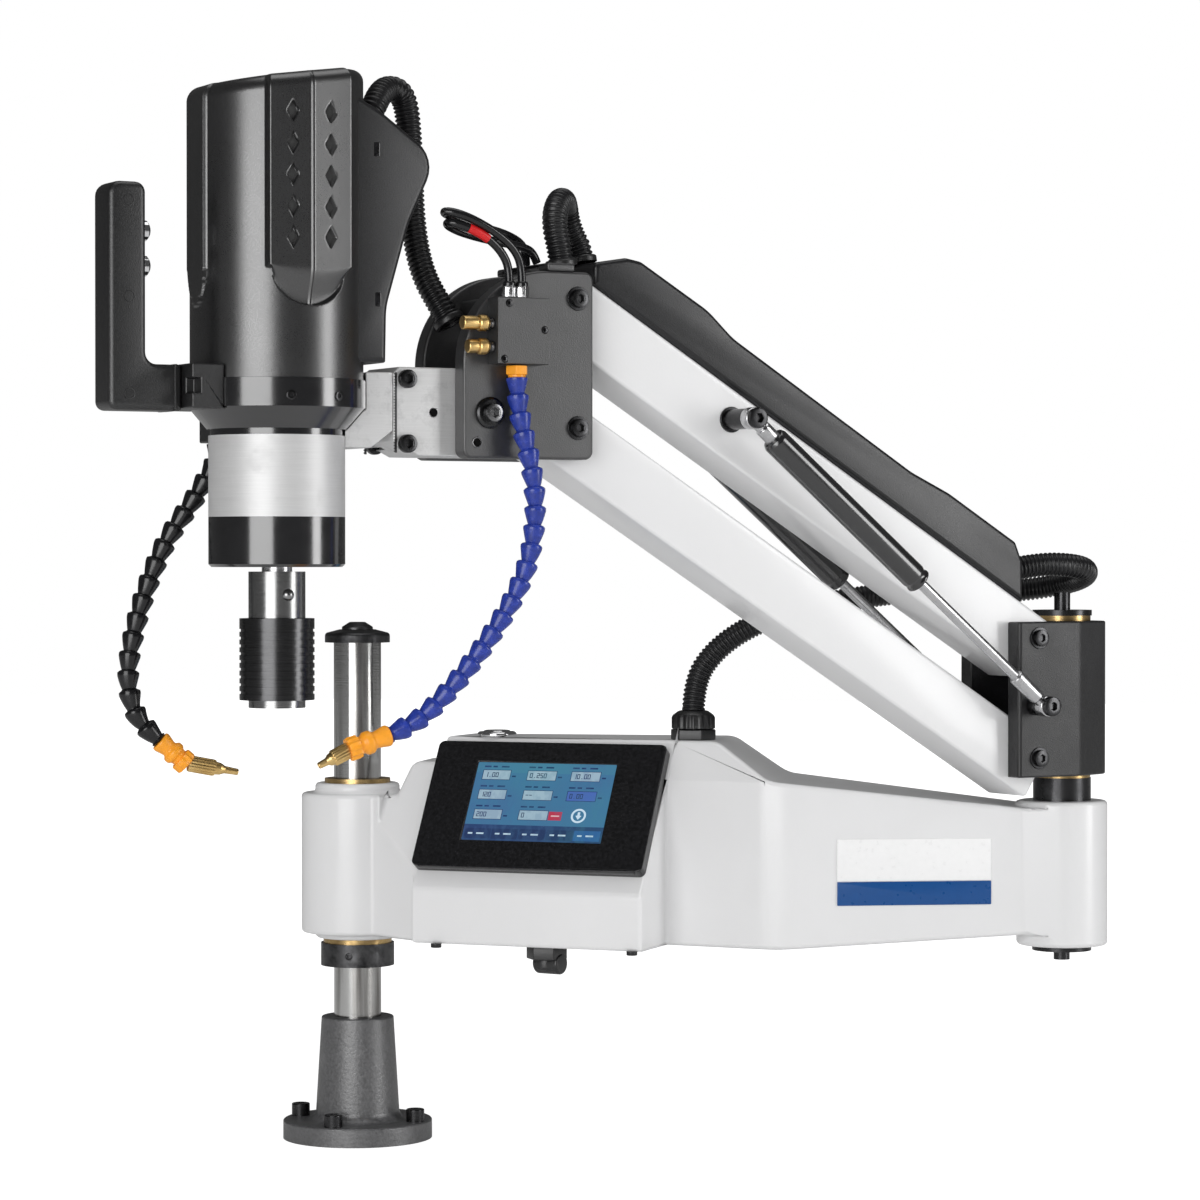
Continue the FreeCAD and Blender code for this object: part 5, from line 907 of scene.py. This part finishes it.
class TAPPING_OT_panel(TappingOperator):
    """The operator panel: gloss bezel and the lit screen."""
    bl_idname = "tapping.panel"
    bl_label = "Operator panel"

    def build(self, scene):
        softened("panel_bezel", "hmi_bezel", 0.0008, "gloss_black", "base_arm", 2)
        lip = [(6, -1.2, 1.0), (187.3, -1.2, 1.0), (187.3, 1.6, 1.0), (6, 1.6, 1.0)]
        piece("panel_lip", [grid(slab(lip, 6.0, 11.2, 0.8), place=panel_frame)], "gloss_black", "base_arm")
        self.screen()

    def digits(self, text, x, y, size=3.6):
        """Seven-segment strokes of a number, as rectangles."""
        segments = {"a": (0, 1, 1, 1), "g": (0, 0.5, 1, 0.5), "d": (0, 0, 1, 0), "f": (0, 0.5, 0, 1),
                    "b": (1, 0.5, 1, 1), "e": (0, 0, 0, 0.5), "c": (1, 0, 1, 0.5)}
        lit = {"0": "abcdef", "1": "bc", "2": "abged", "3": "abgcd", "5": "afgcd", "-": "g"}
        wide, stroke, dark = size * 0.5, 0.32, (0.006, 0.012, 0.05)
        cells = []
        for i, letter in enumerate(text):
            left = x + i * (wide + 1.15)
            for x0, y0, x1, y1 in (segments[s] for s in lit.get(letter, "")):
                cells.append((left + x0 * wide - stroke, y + y0 * size - stroke, left + x1 * wide + stroke,
                              y + y1 * size + stroke, dark))
            if letter == ".":
                cells.append((left + wide / 2 - 0.3, y - 0.3, left + wide / 2 + 0.4, y + 0.4, dark))
        return cells

    def display_cells(self):
        """The display's cells in millimetres: (left, low, right, high, colour), later ones over earlier ones."""
        back, deep, field = (0.045, 0.17, 0.31), (0.012, 0.035, 0.12), (0.36, 0.50, 0.58)
        navy, ink, pale = (0.006, 0.015, 0.075), (0.004, 0.02, 0.09), (0.55, 0.72, 0.82)
        cells = [(0, 0, 117, 69, back), (0, 60, 117, 69, (0.05, 0.20, 0.31)), (0, 0, 117, 14, deep)]
        rows = ((54.0, 62.0, "1.00", "0.250", "10.00"), (36.6, 44.6, "120", "--", "0.00"),
                (19.0, 27.0, "200", "0", ""))
        for low, high, *texts in rows:
            for (left, right), text in zip(((6, 29), (44, 68), (81, 105)), texts):
                if not text:
                    continue
                cells.append((left - 0.5, low - 0.5, right + 0.5, high + 0.5, navy))
                cells.append((left, low, right, high, field))
                cells += self.digits(text, left + 2.2, low + 2.2)
                for k, wide in enumerate((5.5, 3.8, 6.5)):
                    start = left + k * 7.2
                    cells.append((start, high + 2.6, start + wide, high + 4.0, ink))
                cells.append((right + 1.8, low + 2.2, right + 5.2, low + 3.6, ink))
        cells.append((81, 36.6, 105, 44.6, (0.06, 0.13, 0.45)))
        cells += self.digits("0.00", 83.2, 38.8)
        cells.append((68.8, 19.0, 80, 26.6, (0.52, 0.012, 0.03)))
        cells.append((71.0, 22.2, 78, 23.4, (0.8, 0.5, 0.5)))
        for k in range(5):
            left = 1.4 + k * 23.0
            cells.append((left, 1.6, left + 22.0, 10.6, navy if k < 4 else (0.02, 0.10, 0.30)))
            for part, wide in enumerate((5.0, 7.5)):
                start = left + 3.0 + part * 7.0
                cells.append((start, 5.4, start + wide - 1.2, 6.8, pale))
        return cells

    def screen(self):
        """Grid lines stand at the sides of all cells, and each face takes the colour of the last cell over its
        middle."""
        cells = self.display_cells()
        sides = np.array([cell[:4] for cell in cells])
        colours = np.array([(*cell[4], 1.0) for cell in cells])
        left, low, wide, high = SCREEN
        x, y = (np.unique(np.round(np.clip(np.concatenate([[0, size], sides[:, [i, i + 2]].ravel()]), 0, size), 3))
                for i, size in enumerate((wide, high)))
        mx, my = (x[1:] + x[:-1]) / 2, (y[1:] + y[:-1]) / 2
        covers = ((sides[:, 0, None, None] < mx) & (mx < sides[:, 2, None, None])
                  & (sides[:, 1, None, None] < my[:, None]) & (my[:, None] < sides[:, 3, None, None]))
        last = len(cells) - 1 - np.argmax(covers[::-1], axis=0)
        gx, gy = np.meshgrid(x, y)
        flat = np.stack([gx + left, gy + low, np.full_like(gx, SCREEN_FACE)], -1)
        points, faces = grid(panel_frame(flat), around=False)
        mesh = bpy.data.meshes.new("screen_face")
        mesh.from_pydata(points, [], faces)
        paint = mesh.attributes.new("cell_colour", "FLOAT_COLOR", "CORNER")
        paint.data.foreach_set("color", np.repeat(colours[last.ravel()], 4, axis=0).astype(np.float32).ravel())
        screen = fitted(bpy.data.objects.new("screen_face", mesh), "lit_screen", "base_arm", ("hmi_screen",))
        wall = screen.modifiers.new("Glass", "SOLIDIFY")
        wall.thickness = 0.0017
        wall.offset = -1
        centre = np.array([left + 94.0, low + 23.5, SCREEN_FACE])

        def mark(points):
            """Millimetres about the round mark's middle to the row frame."""
            return panel_frame(points + centre)
        arrow = slab(((0, -3.4, 0.2), (2.6, 0.2, 0.2), (1.0, 0.2, 0.1), (1.0, 3.2, 0.2), (-1.0, 3.2, 0.2),
                      (-1.0, 0.2, 0.1), (-2.6, 0.2, 0.2)), 0, 0.12, 0.03, 1, 2)
        piece("screen_round_mark", [turned([(4.6, 0), (6.2, 0), (6.2, 0.12), (4.6, 0.12)], place=mark, count=40,
                                           closed=True), grid(arrow, place=mark)], "screen_mark", "base_arm")


def pivot_ends(pivots, washer, head, height):
    """Each (u, z) pivot's pin, with a washer and a socket head at both ends."""
    surfaces = []
    for u, z in pivots:
        for side in (1, -1):
            out = (0, side, 0)
            surfaces += [disc(washer, -3, 0.9, (u, side * FORK_HALF, z), out, 0.4),
                         socket_head(head, height, (u, side * (FORK_HALF + 0.8), z), out, 5.4)]
        surfaces.append(disc(6, 0, 76, (u, -38, z), ACROSS))
    return surfaces


class TAPPING_OT_rear_block(TappingOperator):
    """The block on the rear post with its pins, studs and conduit clip."""
    bl_idname = "tapping.rear_block"
    bl_label = "Rear block"

    def build(self, scene):
        softened("rear_block_body", "rear_block", 0.0013, "block_paint", "rear_block")
        screws = pivot_ends(((PIVOT_U, PIVOT_UPPER_Z), (PIVOT_U, PIVOT_LOWER_Z)), 8.4, 6.4, 3.4)
        for side in (1, -1):
            foot, out = (SPRING_FOOT_U, side * FORK_HALF, SPRING_FOOT_Z), (0, side, 0)
            screws += [disc(7.5, -4, 9.7, foot, out, 0.5), disc(5, 0, 21, foot, out),
                       socket_head(7.4, 5, (foot[0], side * 60.3, foot[2]), out, 6.0, edge=1.0)]
        piece("rear_block_screws", screws, "screw_black", "rear_block", ("rear_block_pins",))
        dress("black_moulding", "conduit_clip")


class TAPPING_OT_arms(TappingOperator):
    """Both beams, their bushes, the folded cover and the upper spring studs."""
    bl_idname = "tapping.arms"
    bl_label = "Arms"

    def build(self, scene):
        far = FRONT_ALONG + 18
        for which, low, high, z in (("upper", -27.5, 20.5, PIVOT_UPPER_Z), ("lower", -27.0, 19.0, PIVOT_LOWER_Z)):
            corners = ((-15, low, 3), (far, low, 9), (far, high, 18), (-15, high, 3))
            piece(f"{which}_beam", [side_slab(corners, -ARM_HALF, ARM_HALF, 2.4, slope_frame(z), 4)], "white_paint",
                  f"{which}_arm", (f"{which}_arm_beam",))
            dress("bronze", f"{which}_arm_bushes")
        along = slope_frame(PIVOT_UPPER_Z)
        outline = ((19.3, 20.6), (35.8, 47, 2), (48.5, 56.2, 5), (120, 55.8, 60), (157, 51.5, 60), (341, 51.8, 60),
                   (369, 57.4, 60), (434.9, 56.5, 10), (446.3, 52, 8), (466.7, 34.5, 5), (459, 20.6))
        piece("cover_shell", [side_slab(outline, -27, 27, 3.4, along, 4)], "cover_moulding", "upper_arm",
              ("upper_arm_cover",))
        studs = []
        for side in (1, -1):
            out = (0, side, 0)
            for start, radius, reach, edge in ((24.3, 9.5, 2.2, 0.5), (24.5, 7.5, 25, 0), (24.5, 5, 36, 0)):
                studs.append(turned([(0, 0), (radius, 0), (radius, reach), (0, reach)],
                                    (SPRING_ALONG, side * start, 0), out, edge, along))
            studs.append(socket_head(7.5, 5, (SPRING_ALONG, side * 60.3, 0), out, 6.4, edge=1.0, place=along))
        piece("spring_studs_dark", studs, "screw_black", "upper_arm", ("spring_studs_upper",), slot="bright_steel")


class TAPPING_OT_gas_springs(TappingOperator):
    """Both gas springs: rod and cylinder with their eyes."""
    bl_idname = "tapping.gas_springs"
    bl_label = "Gas springs"

    def build(self, scene):
        eye = [(5.1, -5), (7.2, -5), (8, -4), (8, 4), (7.2, 5), (5.1, 5)]
        neck = [(0, 5.6), (4.8, 5.6), (4.8, 10), (6, 11)]
        rod_neck, tube_neck = neck + [(6, 36), (4.6, 37.2), (0, 37.2)], neck + [(6, 22.6), (0, 22.6)]
        tube = [(0, 22.4), (8.4, 22.4), (10, 25.5), (10, 180.5), (9.4, 182), (9.4, 184), (10, 185.4), (10, 187),
                (8, 188.4), (4.4, 188.4), (4.4, 180), (0, 180)]
        for side, v in (("near", SPRING_V), ("far", -SPRING_V)):
            low = np.array([SPRING_FOOT_U, v, SPRING_FOOT_Z])
            high = np.array([PIVOT_U + SPRING_ALONG * math.cos(ARM_RISE), v,
                             PIVOT_UPPER_Z + SPRING_ALONG * math.sin(ARM_RISE)])
            line = (high - low) / np.linalg.norm(high - low)
            rod, cylinder = f"spring_rod_{side}", f"spring_tube_{side}"
            piece(f"gas_spring_rod_{side}", [turned(eye, low, ACROSS, 0.5, closed=True),
                                             turned(rod_neck, low, line, 0.6), disc(4, 36, 262, low, line, 0.3)],
                  "bright_steel", rod, (rod,))
            piece(f"gas_spring_cylinder_{side}", [turned(tube, high, -line, 0.8)], "spring_black", cylinder,
                  (cylinder,))
            piece(f"gas_spring_end_{side}", [turned(eye, high, ACROSS, 0.5, closed=True),
                                             turned(tube_neck, high, -line, 0.6)], "bright_steel", cylinder)


class TAPPING_OT_bracket(TappingOperator):
    """The front bracket: plates, coupling block, screws, valve block and its fittings."""
    bl_idname = "tapping.bracket"
    bl_label = "Front bracket"

    def build(self, scene):
        softened("bracket_plates", "front_plates", 0.0018, "black_paint", "front_bracket")
        # Painted sheen: this coupling's black paint is given as light satin metal.
        softened("bracket_coupling", "coupling_block", 0.0009, "painted_sheen_satin", "front_bracket")
        u, rise = PIVOT_U + FRONT_ALONG * math.cos(ARM_RISE), FRONT_ALONG * math.sin(ARM_RISE)
        screws = pivot_ends(((u, PIVOT_UPPER_Z + rise), (u, PIVOT_LOWER_Z + rise)), 8.6, 6.5, 3.5)
        screws += [socket_head(6.5, 5, (579, side * 25, z), (0, side, 0), 6.2, edge=0.8)
                   for side in (1, -1) for z in (547.4, 592.6)]
        piece("bracket_screws", screws, "screw_black", "front_bracket", ("bracket_fasteners",))
        u, z = CROSS_BOLT
        washer = [(0, -1), (11.2, -1), (11.2, 1.2), (9.4, 2.6), (0, 2.6)]
        for side, name in ((1, "near"), (-1, "far")):
            out = (0, side, 0)
            piece(f"cross_bolt_washer_{name}", [turned(washer, (u, side * FORK_HALF, z), out, 0.5)], "screw_black",
                  "front_bracket")
            head = socket_head(6.6, 5.4, (u, side * (FORK_HALF + 2.4), z), out, 6.4, edge=0.9)
            piece(f"cross_bolt_{name}", [head], "dark_steel", "front_bracket")
        u, z = PLATE_HOLE
        rim = [(0, 0.02), (2.7, 0.02), (3.1, 0.25), (3.9, 0.30), (4.1, 0.02), (4.1, -0.5), (0, -0.5)]
        piece("plate_hole_rim", [turned(rim, (u, FORK_HALF, z), ACROSS, 0.08)], "dark_steel", "front_bracket",
              slot="black_paint")
        # Painted shade: thin matt black discs inside the plate hole and the coupling hole darken them.
        piece("bracket_recesses", [disc(2.9, 0, 0.06, (u, v, z), ACROSS, count=40)
                                   for (u, z), v in ((PLATE_HOLE, FORK_HALF + 0.28), (COUPLING_HOLE, 24.7))],
              "shadow_black", "front_bracket")
        self.valve()
        self.teeth()

    def teeth(self):
        """The toothed seam between the coupling's halves: a saw edge t(z) = depth |2 frac(z / pitch) - 1|."""
        z = np.linspace(541, 597, 57)
        saw = 1.1 * np.abs(2 * ((z / 2.0) % 1) - 1)
        for side, name in ((1, "near"), (-1, "far")):
            rows = np.array([[u + 0 * z, side * v + 0 * z, z] for u, v in
                             ((586.4, 24.4), (586.4, 25.35), (587.6 + saw, 25.35), (587.6 + saw, 24.4))])
            piece(f"coupling_teeth_{name}", [grid(rows.transpose(2, 0, 1), place=arm_frame)], "blackened_steel",
                  "front_bracket", sharp=20)

    def valve(self):
        """The air valve block with its screws, fittings and needle knobs."""
        softened("valve_body", "valve_block", 0.0006, "black_paint", "front_bracket", 2)
        piece("valve_screws", [socket_head(2.3, 3.4, (u, 52.6, z), ACROSS, 2.3, edge=0.3)
                               for u, z in ((514.0, 646.0), (485.9, 627.9), (517.6, 606.9))],
              "screw_black", "front_bracket")
        piece("valve_push_fittings", [plan_slab(hexagon(u, VALVE_V, 5.25, 0.5, math.pi / 6), 650.0, 658.4, 0.5,
                                                arm_frame) for u in TUBE_US],
              "chrome", "front_bracket", ("valve_fittings",))
        ring = [(0, 658), (4.6, 658), (4.6, 660.6), (3.8, 661.8), (0, 661.8)]
        piece("valve_push_rings", [turned(ring, (u, VALVE_V, 0), UP, 0.4) for u in TUBE_US], "gloss_black",
              "front_bracket", slot="polymer_black")
        piece("hose_nut", [plan_slab(hexagon(HOSE_U, VALVE_V, 8.4, 0.8), 596.2, 602.6, 0.7, arm_frame),
                           disc(6.2, 594.4, 596.4, (HOSE_U, VALVE_V, 0), UP, 0.4)], "hose_orange", "front_bracket")
        neck = [(0, -9.5), (2.9, -9.5), (2.9, 0.4), (3.9, 0.4), (3.9, 1.8), (3.2, 2.2), (3.2, 2.8), (3.9, 3.2),
                (3.9, 3.8), (0, 3.8)]
        for name, z, reach in (("needle_knob_upper", 631.8, 24.3), ("needle_knob_lower", 615.5, 20.3)):
            knob = [(0, 3.4), (3.6, 3.4), (4.6, 4.4), (5.8, 6.2), (5.8, 11.0), (5.0, 12.0), (4.1, 12.2),
                    (4.1, 13.0), (4.9, 13.4), (4.9, reach - 0.7), (4.3, reach), (0, reach)]
            start = (522.7, VALVE_V, z)
            piece(f"{name}_brass", [turned(knob, start, (1, 0, 0), 0.25)], "brass", name, (name,))
            piece(f"{name}_neck", [turned(neck, start, (1, 0, 0), 0.25)], "dark_steel", name, slot="chrome")


class TAPPING_OT_head(TappingOperator):
    """The tapping head: housing, fairing, gearbox bands, coupling, clamp and handle."""
    bl_idname = "tapping.head"
    bl_label = "Head"

    def build(self, scene):
        self.housing(scene.tapping_machine_sizes.diamond_depth * 1000)
        fairing = ((-64.6, 602.5, 1.5), (-65.3, 641, 50), (-82.5, 699.5, 60), (-104.3, 746.1, 21), (-61, 776.4, 60),
                   (-30, 792.5), (-30, 602.5))
        piece("fairing_shell", [side_slab([(AXIS_U + u, *rest) for u, *rest in fairing], -42, 42, 4.0, steps=4)],
              "cover_moulding", "head", ("rear_fairing",))
        slot = ((-2.2, -5), (2.2, -5), (2.2, 5), (-2.2, 5))
        slots = [side_slab([(u + a, z + b, 0.8) for a, b in slot], side * 41.2, side * 42.25, 0.2, steps=2)
                 for side in (1, -1) for u, z in ((609.5, 749.5), (608.6, 646.0))]
        piece("fairing_slots", slots, "gloss_black", "head", slot="polymer_black")
        dress("satin_black", "gearbox_collar", "lower_band")
        dress("anodised", "anodised_band")
        # Painted sheen: this coupling's black paint is given as light satin metal.
        softened("head_coupling_body", "head_coupling", 0.0009, "painted_sheen_satin", "head")
        dress("electronics", "servo_motor")
        dress("bright_steel", "spindle_bearings")
        screws = []
        for turn in np.radians((75.6, 109.5, -75.6, -109.5)):
            out = np.array((math.cos(turn), math.sin(turn), 0))
            screws.append(socket_head(3.4, 2.2, (AXIS_U, 0, 578.0) + 60.4 * out, out, 3.2, edge=0.4))
        piece("collar_screws", screws, "screw_black", "head")
        softened("clamp_bodies", "collar_clamps", 0.0012, "black_moulding", "head")
        self.handle()

    def housing(self, vent_depth):
        """Radius over (angle, height): a plain tube, with a flat pad on each side and at the front that fade out
        over curved lower ends, a bead down the side pads, and diamond recesses where |t|/a + |z|/b < 1. The roof
        leans forward, and a quarter round joins it to the wall."""
        plain, edge, floor_z = 60.0, 9.5, 590.4
        front = np.concatenate([np.arange(-22, -9, 0.7), np.arange(-9, 9.01, 3), np.arange(9.7, 22.1, 0.7)])
        spans = ((25, 55, 3.0), (56, 124.01, 0.55), (126, 235, 3.5), (236, 304.01, 0.8), (306, 336, 3.0))
        a = np.sort(np.concatenate([np.radians(front) % (2 * math.pi), *(np.radians(np.arange(*s)) for s in spans)]))
        s = np.unique(np.concatenate([np.linspace(0, 0.19, 20), np.linspace(0.19, 0.40, 76),
                                      np.linspace(0.40, 1, 120)]))[:, None]

        def roof(u):
            return 799.2 - 0.1405 * u
        z = floor_z + s * (roof(plain * np.cos(a)) - edge - floor_z)
        r = np.full_like(z, plain)
        for middle, half, flank, proud, drop, bead, scoop in ((math.pi / 2, 26.8, 4.6, 61.4, 0.085, 0.9, 6.5),
                                                              (-math.pi / 2, 26.8, 4.6, 61.4, 0.085, 0.9, 6.5),
                                                              (0.0, 13.4, 2.2, 61.2, 0.0, 0.0, 0.6)):
            off = np.angle(np.exp(1j * (a - middle)))
            t = plain * np.sin(np.clip(off, -1.3, 1.3))
            face = (proud - drop * np.abs(t) + bead * np.exp(-(t / 0.9) ** 2)) / np.cos(np.clip(off, -1.2, 1.2))
            across = eased((half + flank - np.abs(t)) / flank) * (np.abs(off) < 1.2)
            end = 638.5 + 25.0 * (1 - np.sqrt(1 - np.clip(t / half, -1, 1) ** 2))
            pad = across * eased((z - end) / 1.6)
            deep = scoop * eased((666.0 - z) / np.maximum(666.0 - end, 1.0))
            r = r + (face - deep - plain) * pad
            for vent_t, vent_z in ((t, z) for t in (13.6, -13.6) for z in (770.5, 749.0, 727.5, 706.4, 685.4)):
                inside = 1 - np.abs(t - vent_t) / 4.2 - np.abs(z - vent_z) / 7.7
                r = r - vent_depth * eased(inside / 0.16) * pad * bool(bead)
        p = np.linspace(0, math.pi / 2, 8)[1:, None]
        top_r = r[-1] - edge * (1 - np.cos(p))
        top_z = roof(top_r * np.cos(a)) - edge * (1 - np.sin(p))
        lid_r = (r[-1] - edge) * (1 - np.linspace(0, 1, 9)[1:, None])
        radius = np.concatenate([0 * r[:1], r, top_r, lid_r])
        height = np.concatenate([z[:1], z, top_z, roof(lid_r * np.cos(a))])
        points = np.stack([AXIS_U + radius * np.cos(a), radius * np.sin(a), height], -1)
        piece("housing_shell", [grid(points, ends=False, place=arm_frame)], "housing_moulding", "head",
              ("motor_housing",), sharp=50)

    def handle(self):
        """The L-shaped grip: an upright of rounded section over a foot."""
        outline = ((AXIS_U + 76, 567.5, 2), (AXIS_U + 129, 567.5, 6), (AXIS_U + 129, 722, 9), (GRIP_U, 722, 7),
                   (GRIP_U, 599, 8), (AXIS_U + 76, 599, 2))
        piece("grip_moulding", [side_slab(outline, -15, 15, 4.2, steps=5)], "black_moulding", "head",
              ("handle_grip",))
        mark = [(3.3, -1), (4.0, -1), (4.0, 0.25), (3.3, 0.25)]
        marks = [turned(mark, (u, side * 15, z), (0, side, 0), 0.1, count=32, closed=True)
                 for side in (1, -1) for u, z in ((781.3, 709.4), (781.0, 644.3), (781.0, 578.4))]
        joint = [(AXIS_U + u, z) for u, z in ((80, 567.4), (82, 567.4), (82, 599.2), (80, 599.2))]
        piece("grip_marks", marks + [side_slab(joint, -15.5, 15.5, 0.4)], "black_moulding", "head")
        dress("chrome", "start_button", "stop_button")


class TAPPING_OT_chuck(TappingOperator):
    """Spindle, chuck and its grooved release sleeve."""
    bl_idname = "tapping.chuck"
    bl_label = "Chuck"

    def build(self, scene):
        dress("bright_steel", "spindle_shaft")
        dress("chuck_body", "chuck_body")
        dress("chuck_sleeve", "chuck_sleeve")


def corrugated(name, route, sizes, bodies, length, node):
    """A corrugated conduit: radius = outside - depth (0.5 + 0.5 cos(2 pi s / pitch)) along its spline."""
    line, at = spline_line(route, sizes.conduit_pitch / 8)
    outside, depth = sizes.conduit_radius, 0.0013
    wave = 0.5 + 0.5 * np.cos(2 * math.pi * at / sizes.conduit_pitch)
    obj = piece(name, [swept(line, outside - depth * wave ** 1.6, 28)], "conduit_black", None, (node,), sharp=80)
    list(bodies)
    tuple(arm_frame(route[1]))
    tuple(arm_frame(route[-2]))
    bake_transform(obj)
    tuple(line[0])


class TAPPING_OT_conduits(TappingOperator):
    """The four corrugated conduits and the collars where they enter."""
    bl_idname = "tapping.conduits"
    bl_label = "Conduits"

    def build(self, scene):
        sizes = scene.tapping_machine_sizes
        for name, route, bodies, length, node in (
                ("conduit_to_clip", CONDUIT_BASE, ("base_arm", "rear_block"), 0.261, "conduit_base"),
                ("conduit_to_cover", CONDUIT_REAR, ("rear_block", "upper_arm"), 0.182, "conduit_rear"),
                ("conduit_to_bracket", CONDUIT_FRONT, ("upper_arm", "front_bracket"), 0.120, "conduit_front"),
                ("conduit_to_head", CONDUIT_HEAD, ("front_bracket", "head"), 0.231, "conduit_head")):
            corrugated(name, route, sizes, bodies, length, node)
        ring = [(8.6, -1.5), (11.4, -1.5), (11.4, 2.6), (10.4, 3.6), (8.6, 3.6)]
        for name, body, (start, towards) in (("gland", "base_arm", CONDUIT_BASE[:2]),
                                             ("cover_rear", "upper_arm", CONDUIT_REAR[:-3:-1]),
                                             ("cover_front", "upper_arm", CONDUIT_FRONT[:2]),
                                             ("bracket", "front_bracket", CONDUIT_FRONT[:-3:-1]),
                                             ("plate", "front_bracket", CONDUIT_HEAD[:2]),
                                             ("fairing", "head", CONDUIT_HEAD[:-3:-1])):
            piece(f"conduit_collar_{name}", [turned(ring, start, np.subtract(towards, start), 0.6, closed=True)],
                  "black_moulding", body)


def segmented(name, route, sizes, finish, body):
    """A hose of cupped segments: within each pitch the radius falls from the rim to the neck along a cosine, and a
    short band keeps the rim's full width."""
    line, at = spline_line(route, sizes.hose_pitch / 14)
    count = max(1, round(at[-1] / sizes.hose_pitch))
    phase = (at / at[-1] * count) % 1
    fall = np.clip((phase - 0.16) / 0.72, 0, 1)
    rise = np.clip((phase - 0.90) / 0.10, 0, 1)
    shape = np.where(phase < 0.16, 1.0, (1 - fall) ** 0.85) + rise ** 0.6
    shape[0], shape[-1] = 0.2, 0.2
    radius = sizes.hose_neck + (sizes.hose_rim - sizes.hose_neck) * np.clip(shape, 0, 1)
    return line, piece(f"{name}_segments", [swept(line, radius, 28)], finish, body, (name,), sharp=50)


def nozzle(name, corners, body):
    """Connector, nut and pointed brass nozzle that follow the hose's last run."""
    start, bend, tip = (np.array(c, float) for c in corners)
    run, point = bend - start, tip - bend
    reach, far = np.linalg.norm(run), np.linalg.norm(point)
    connector = [(0, 0), (7.2, 0), (7.6, 2), (6.0, reach * 0.34), (6.0, reach * 0.40), (8.2, reach * 0.48),
                 (8.2, reach * 0.62), (6.2, reach * 0.70), (6.2, reach * 0.86), (0, reach * 0.86)]
    nut = [(s, h * reach) for s, h in ((0.6, 0.80), (0.95, 0.80), (1, 0.84), (1, 1.04), (0.93, 1.08), (0.6, 1.08))]
    grip = [(s, h * far) for s, h in ((0.5, 0.06), (0.96, 0.06), (1, 0.09), (1, 0.52), (0.94, 0.56), (0.5, 0.56))]
    spout = [(r, h * far) for r, h in ((0, 0.5), (5.0, 0.5), (4.2, 0.66), (2.7, 0.74), (2.3, 0.985), (1.9, 1),
                                       (1.2, 1), (1.2, 0.9), (0, 0.9))]
    return [piece(f"{name}_connector", [turned(connector, start, run, 0.9), ribbed(8.0, 0.5, 12, nut, start, run)],
                  "hose_orange", body, (name,)),
            piece(f"{name}_spout", [ribbed(5.6, 0.25, 20, grip, bend, point), turned(spout, bend, point, 0.5)],
                  "brass", body)]


class TAPPING_OT_hoses(TappingOperator):
    """The coolant hoses with their nozzles, and the air tubes with the red sleeve."""
    bl_idname = "tapping.hoses"
    bl_label = "Hoses and air tubes"

    def build(self, scene):
        for name, route, tip, finish, length, body in (
                ("blue_hose", BLUE_HOSE, BLUE_TIP, "hose_blue", 0.291, "front_bracket"),
                ("black_hose", BLACK_HOSE, BLACK_TIP, "hose_black", 0.229, "head")):
            line, hose = segmented(name, route, scene.tapping_machine_sizes, finish, body)
            tuple(line[0])
            nozzle(f"{name}_nozzle", tip, body)
        for name, route, length, nodes in (("air_tube_a", TUBE_A, 0.165, ("air_tubes",)),
                                           ("air_tube_b", TUBE_B, 0.186, ())):
            line, at = spline_line(route, 0.0015)
            tube = piece(name, [swept(line, 0.003, 20)], "air_tube", "front_bracket", nodes, sharp=80)
            tuple(line[0])
            if nodes:
                sleeved = line[(at > 0.036) & (at < 0.054)]
        piece("air_tube_sleeve", [swept(sleeved, 0.0033, 20)], "red_sleeve", "front_bracket", sharp=80)


class TAPPING_PT_panel(bpy.types.Panel):
    """Lists the machine's sizes, colours and building steps."""
    bl_label = "Tapping machine"
    bl_idname = "TAPPING_PT_panel"
    bl_space_type = "VIEW_3D"
    bl_region_type = "UI"
    bl_category = "Tapping machine"

    def draw(self, context):
        for group in ("colours", "sizes", "stage"):
            box = self.layout.box()
            values = getattr(context.scene, f"tapping_machine_{group}")
            for name in values.__annotations__:
                box.prop(values, name)
        for step in STEPS:
            self.layout.operator(step.bl_idname)


STEPS = (TAPPING_OT_stage, TAPPING_OT_stand, TAPPING_OT_base_arm, TAPPING_OT_panel, TAPPING_OT_rear_block,
         TAPPING_OT_arms, TAPPING_OT_gas_springs, TAPPING_OT_bracket, TAPPING_OT_head, TAPPING_OT_chuck,
         TAPPING_OT_conduits, TAPPING_OT_hoses)
CLASSES = (TappingColours, TappingSizes, TappingStage, *STEPS, TAPPING_PT_panel)


def register():
    for cls in CLASSES:
        bpy.utils.register_class(cls)
    bpy.types.Scene.tapping_machine_colours = PointerProperty(type=TappingColours)
    bpy.types.Scene.tapping_machine_sizes = PointerProperty(type=TappingSizes)
    bpy.types.Scene.tapping_machine_stage = PointerProperty(type=TappingStage)


def unregister():
    del bpy.types.Scene.tapping_machine_stage
    del bpy.types.Scene.tapping_machine_sizes
    del bpy.types.Scene.tapping_machine_colours
    for cls in reversed(CLASSES):
        bpy.utils.unregister_class(cls)


def main():
    register()
    for step in STEPS:
        group, name = step.bl_idname.split(".")
        getattr(getattr(bpy.ops, group), name)()


if __name__ == "__main__":
    main()
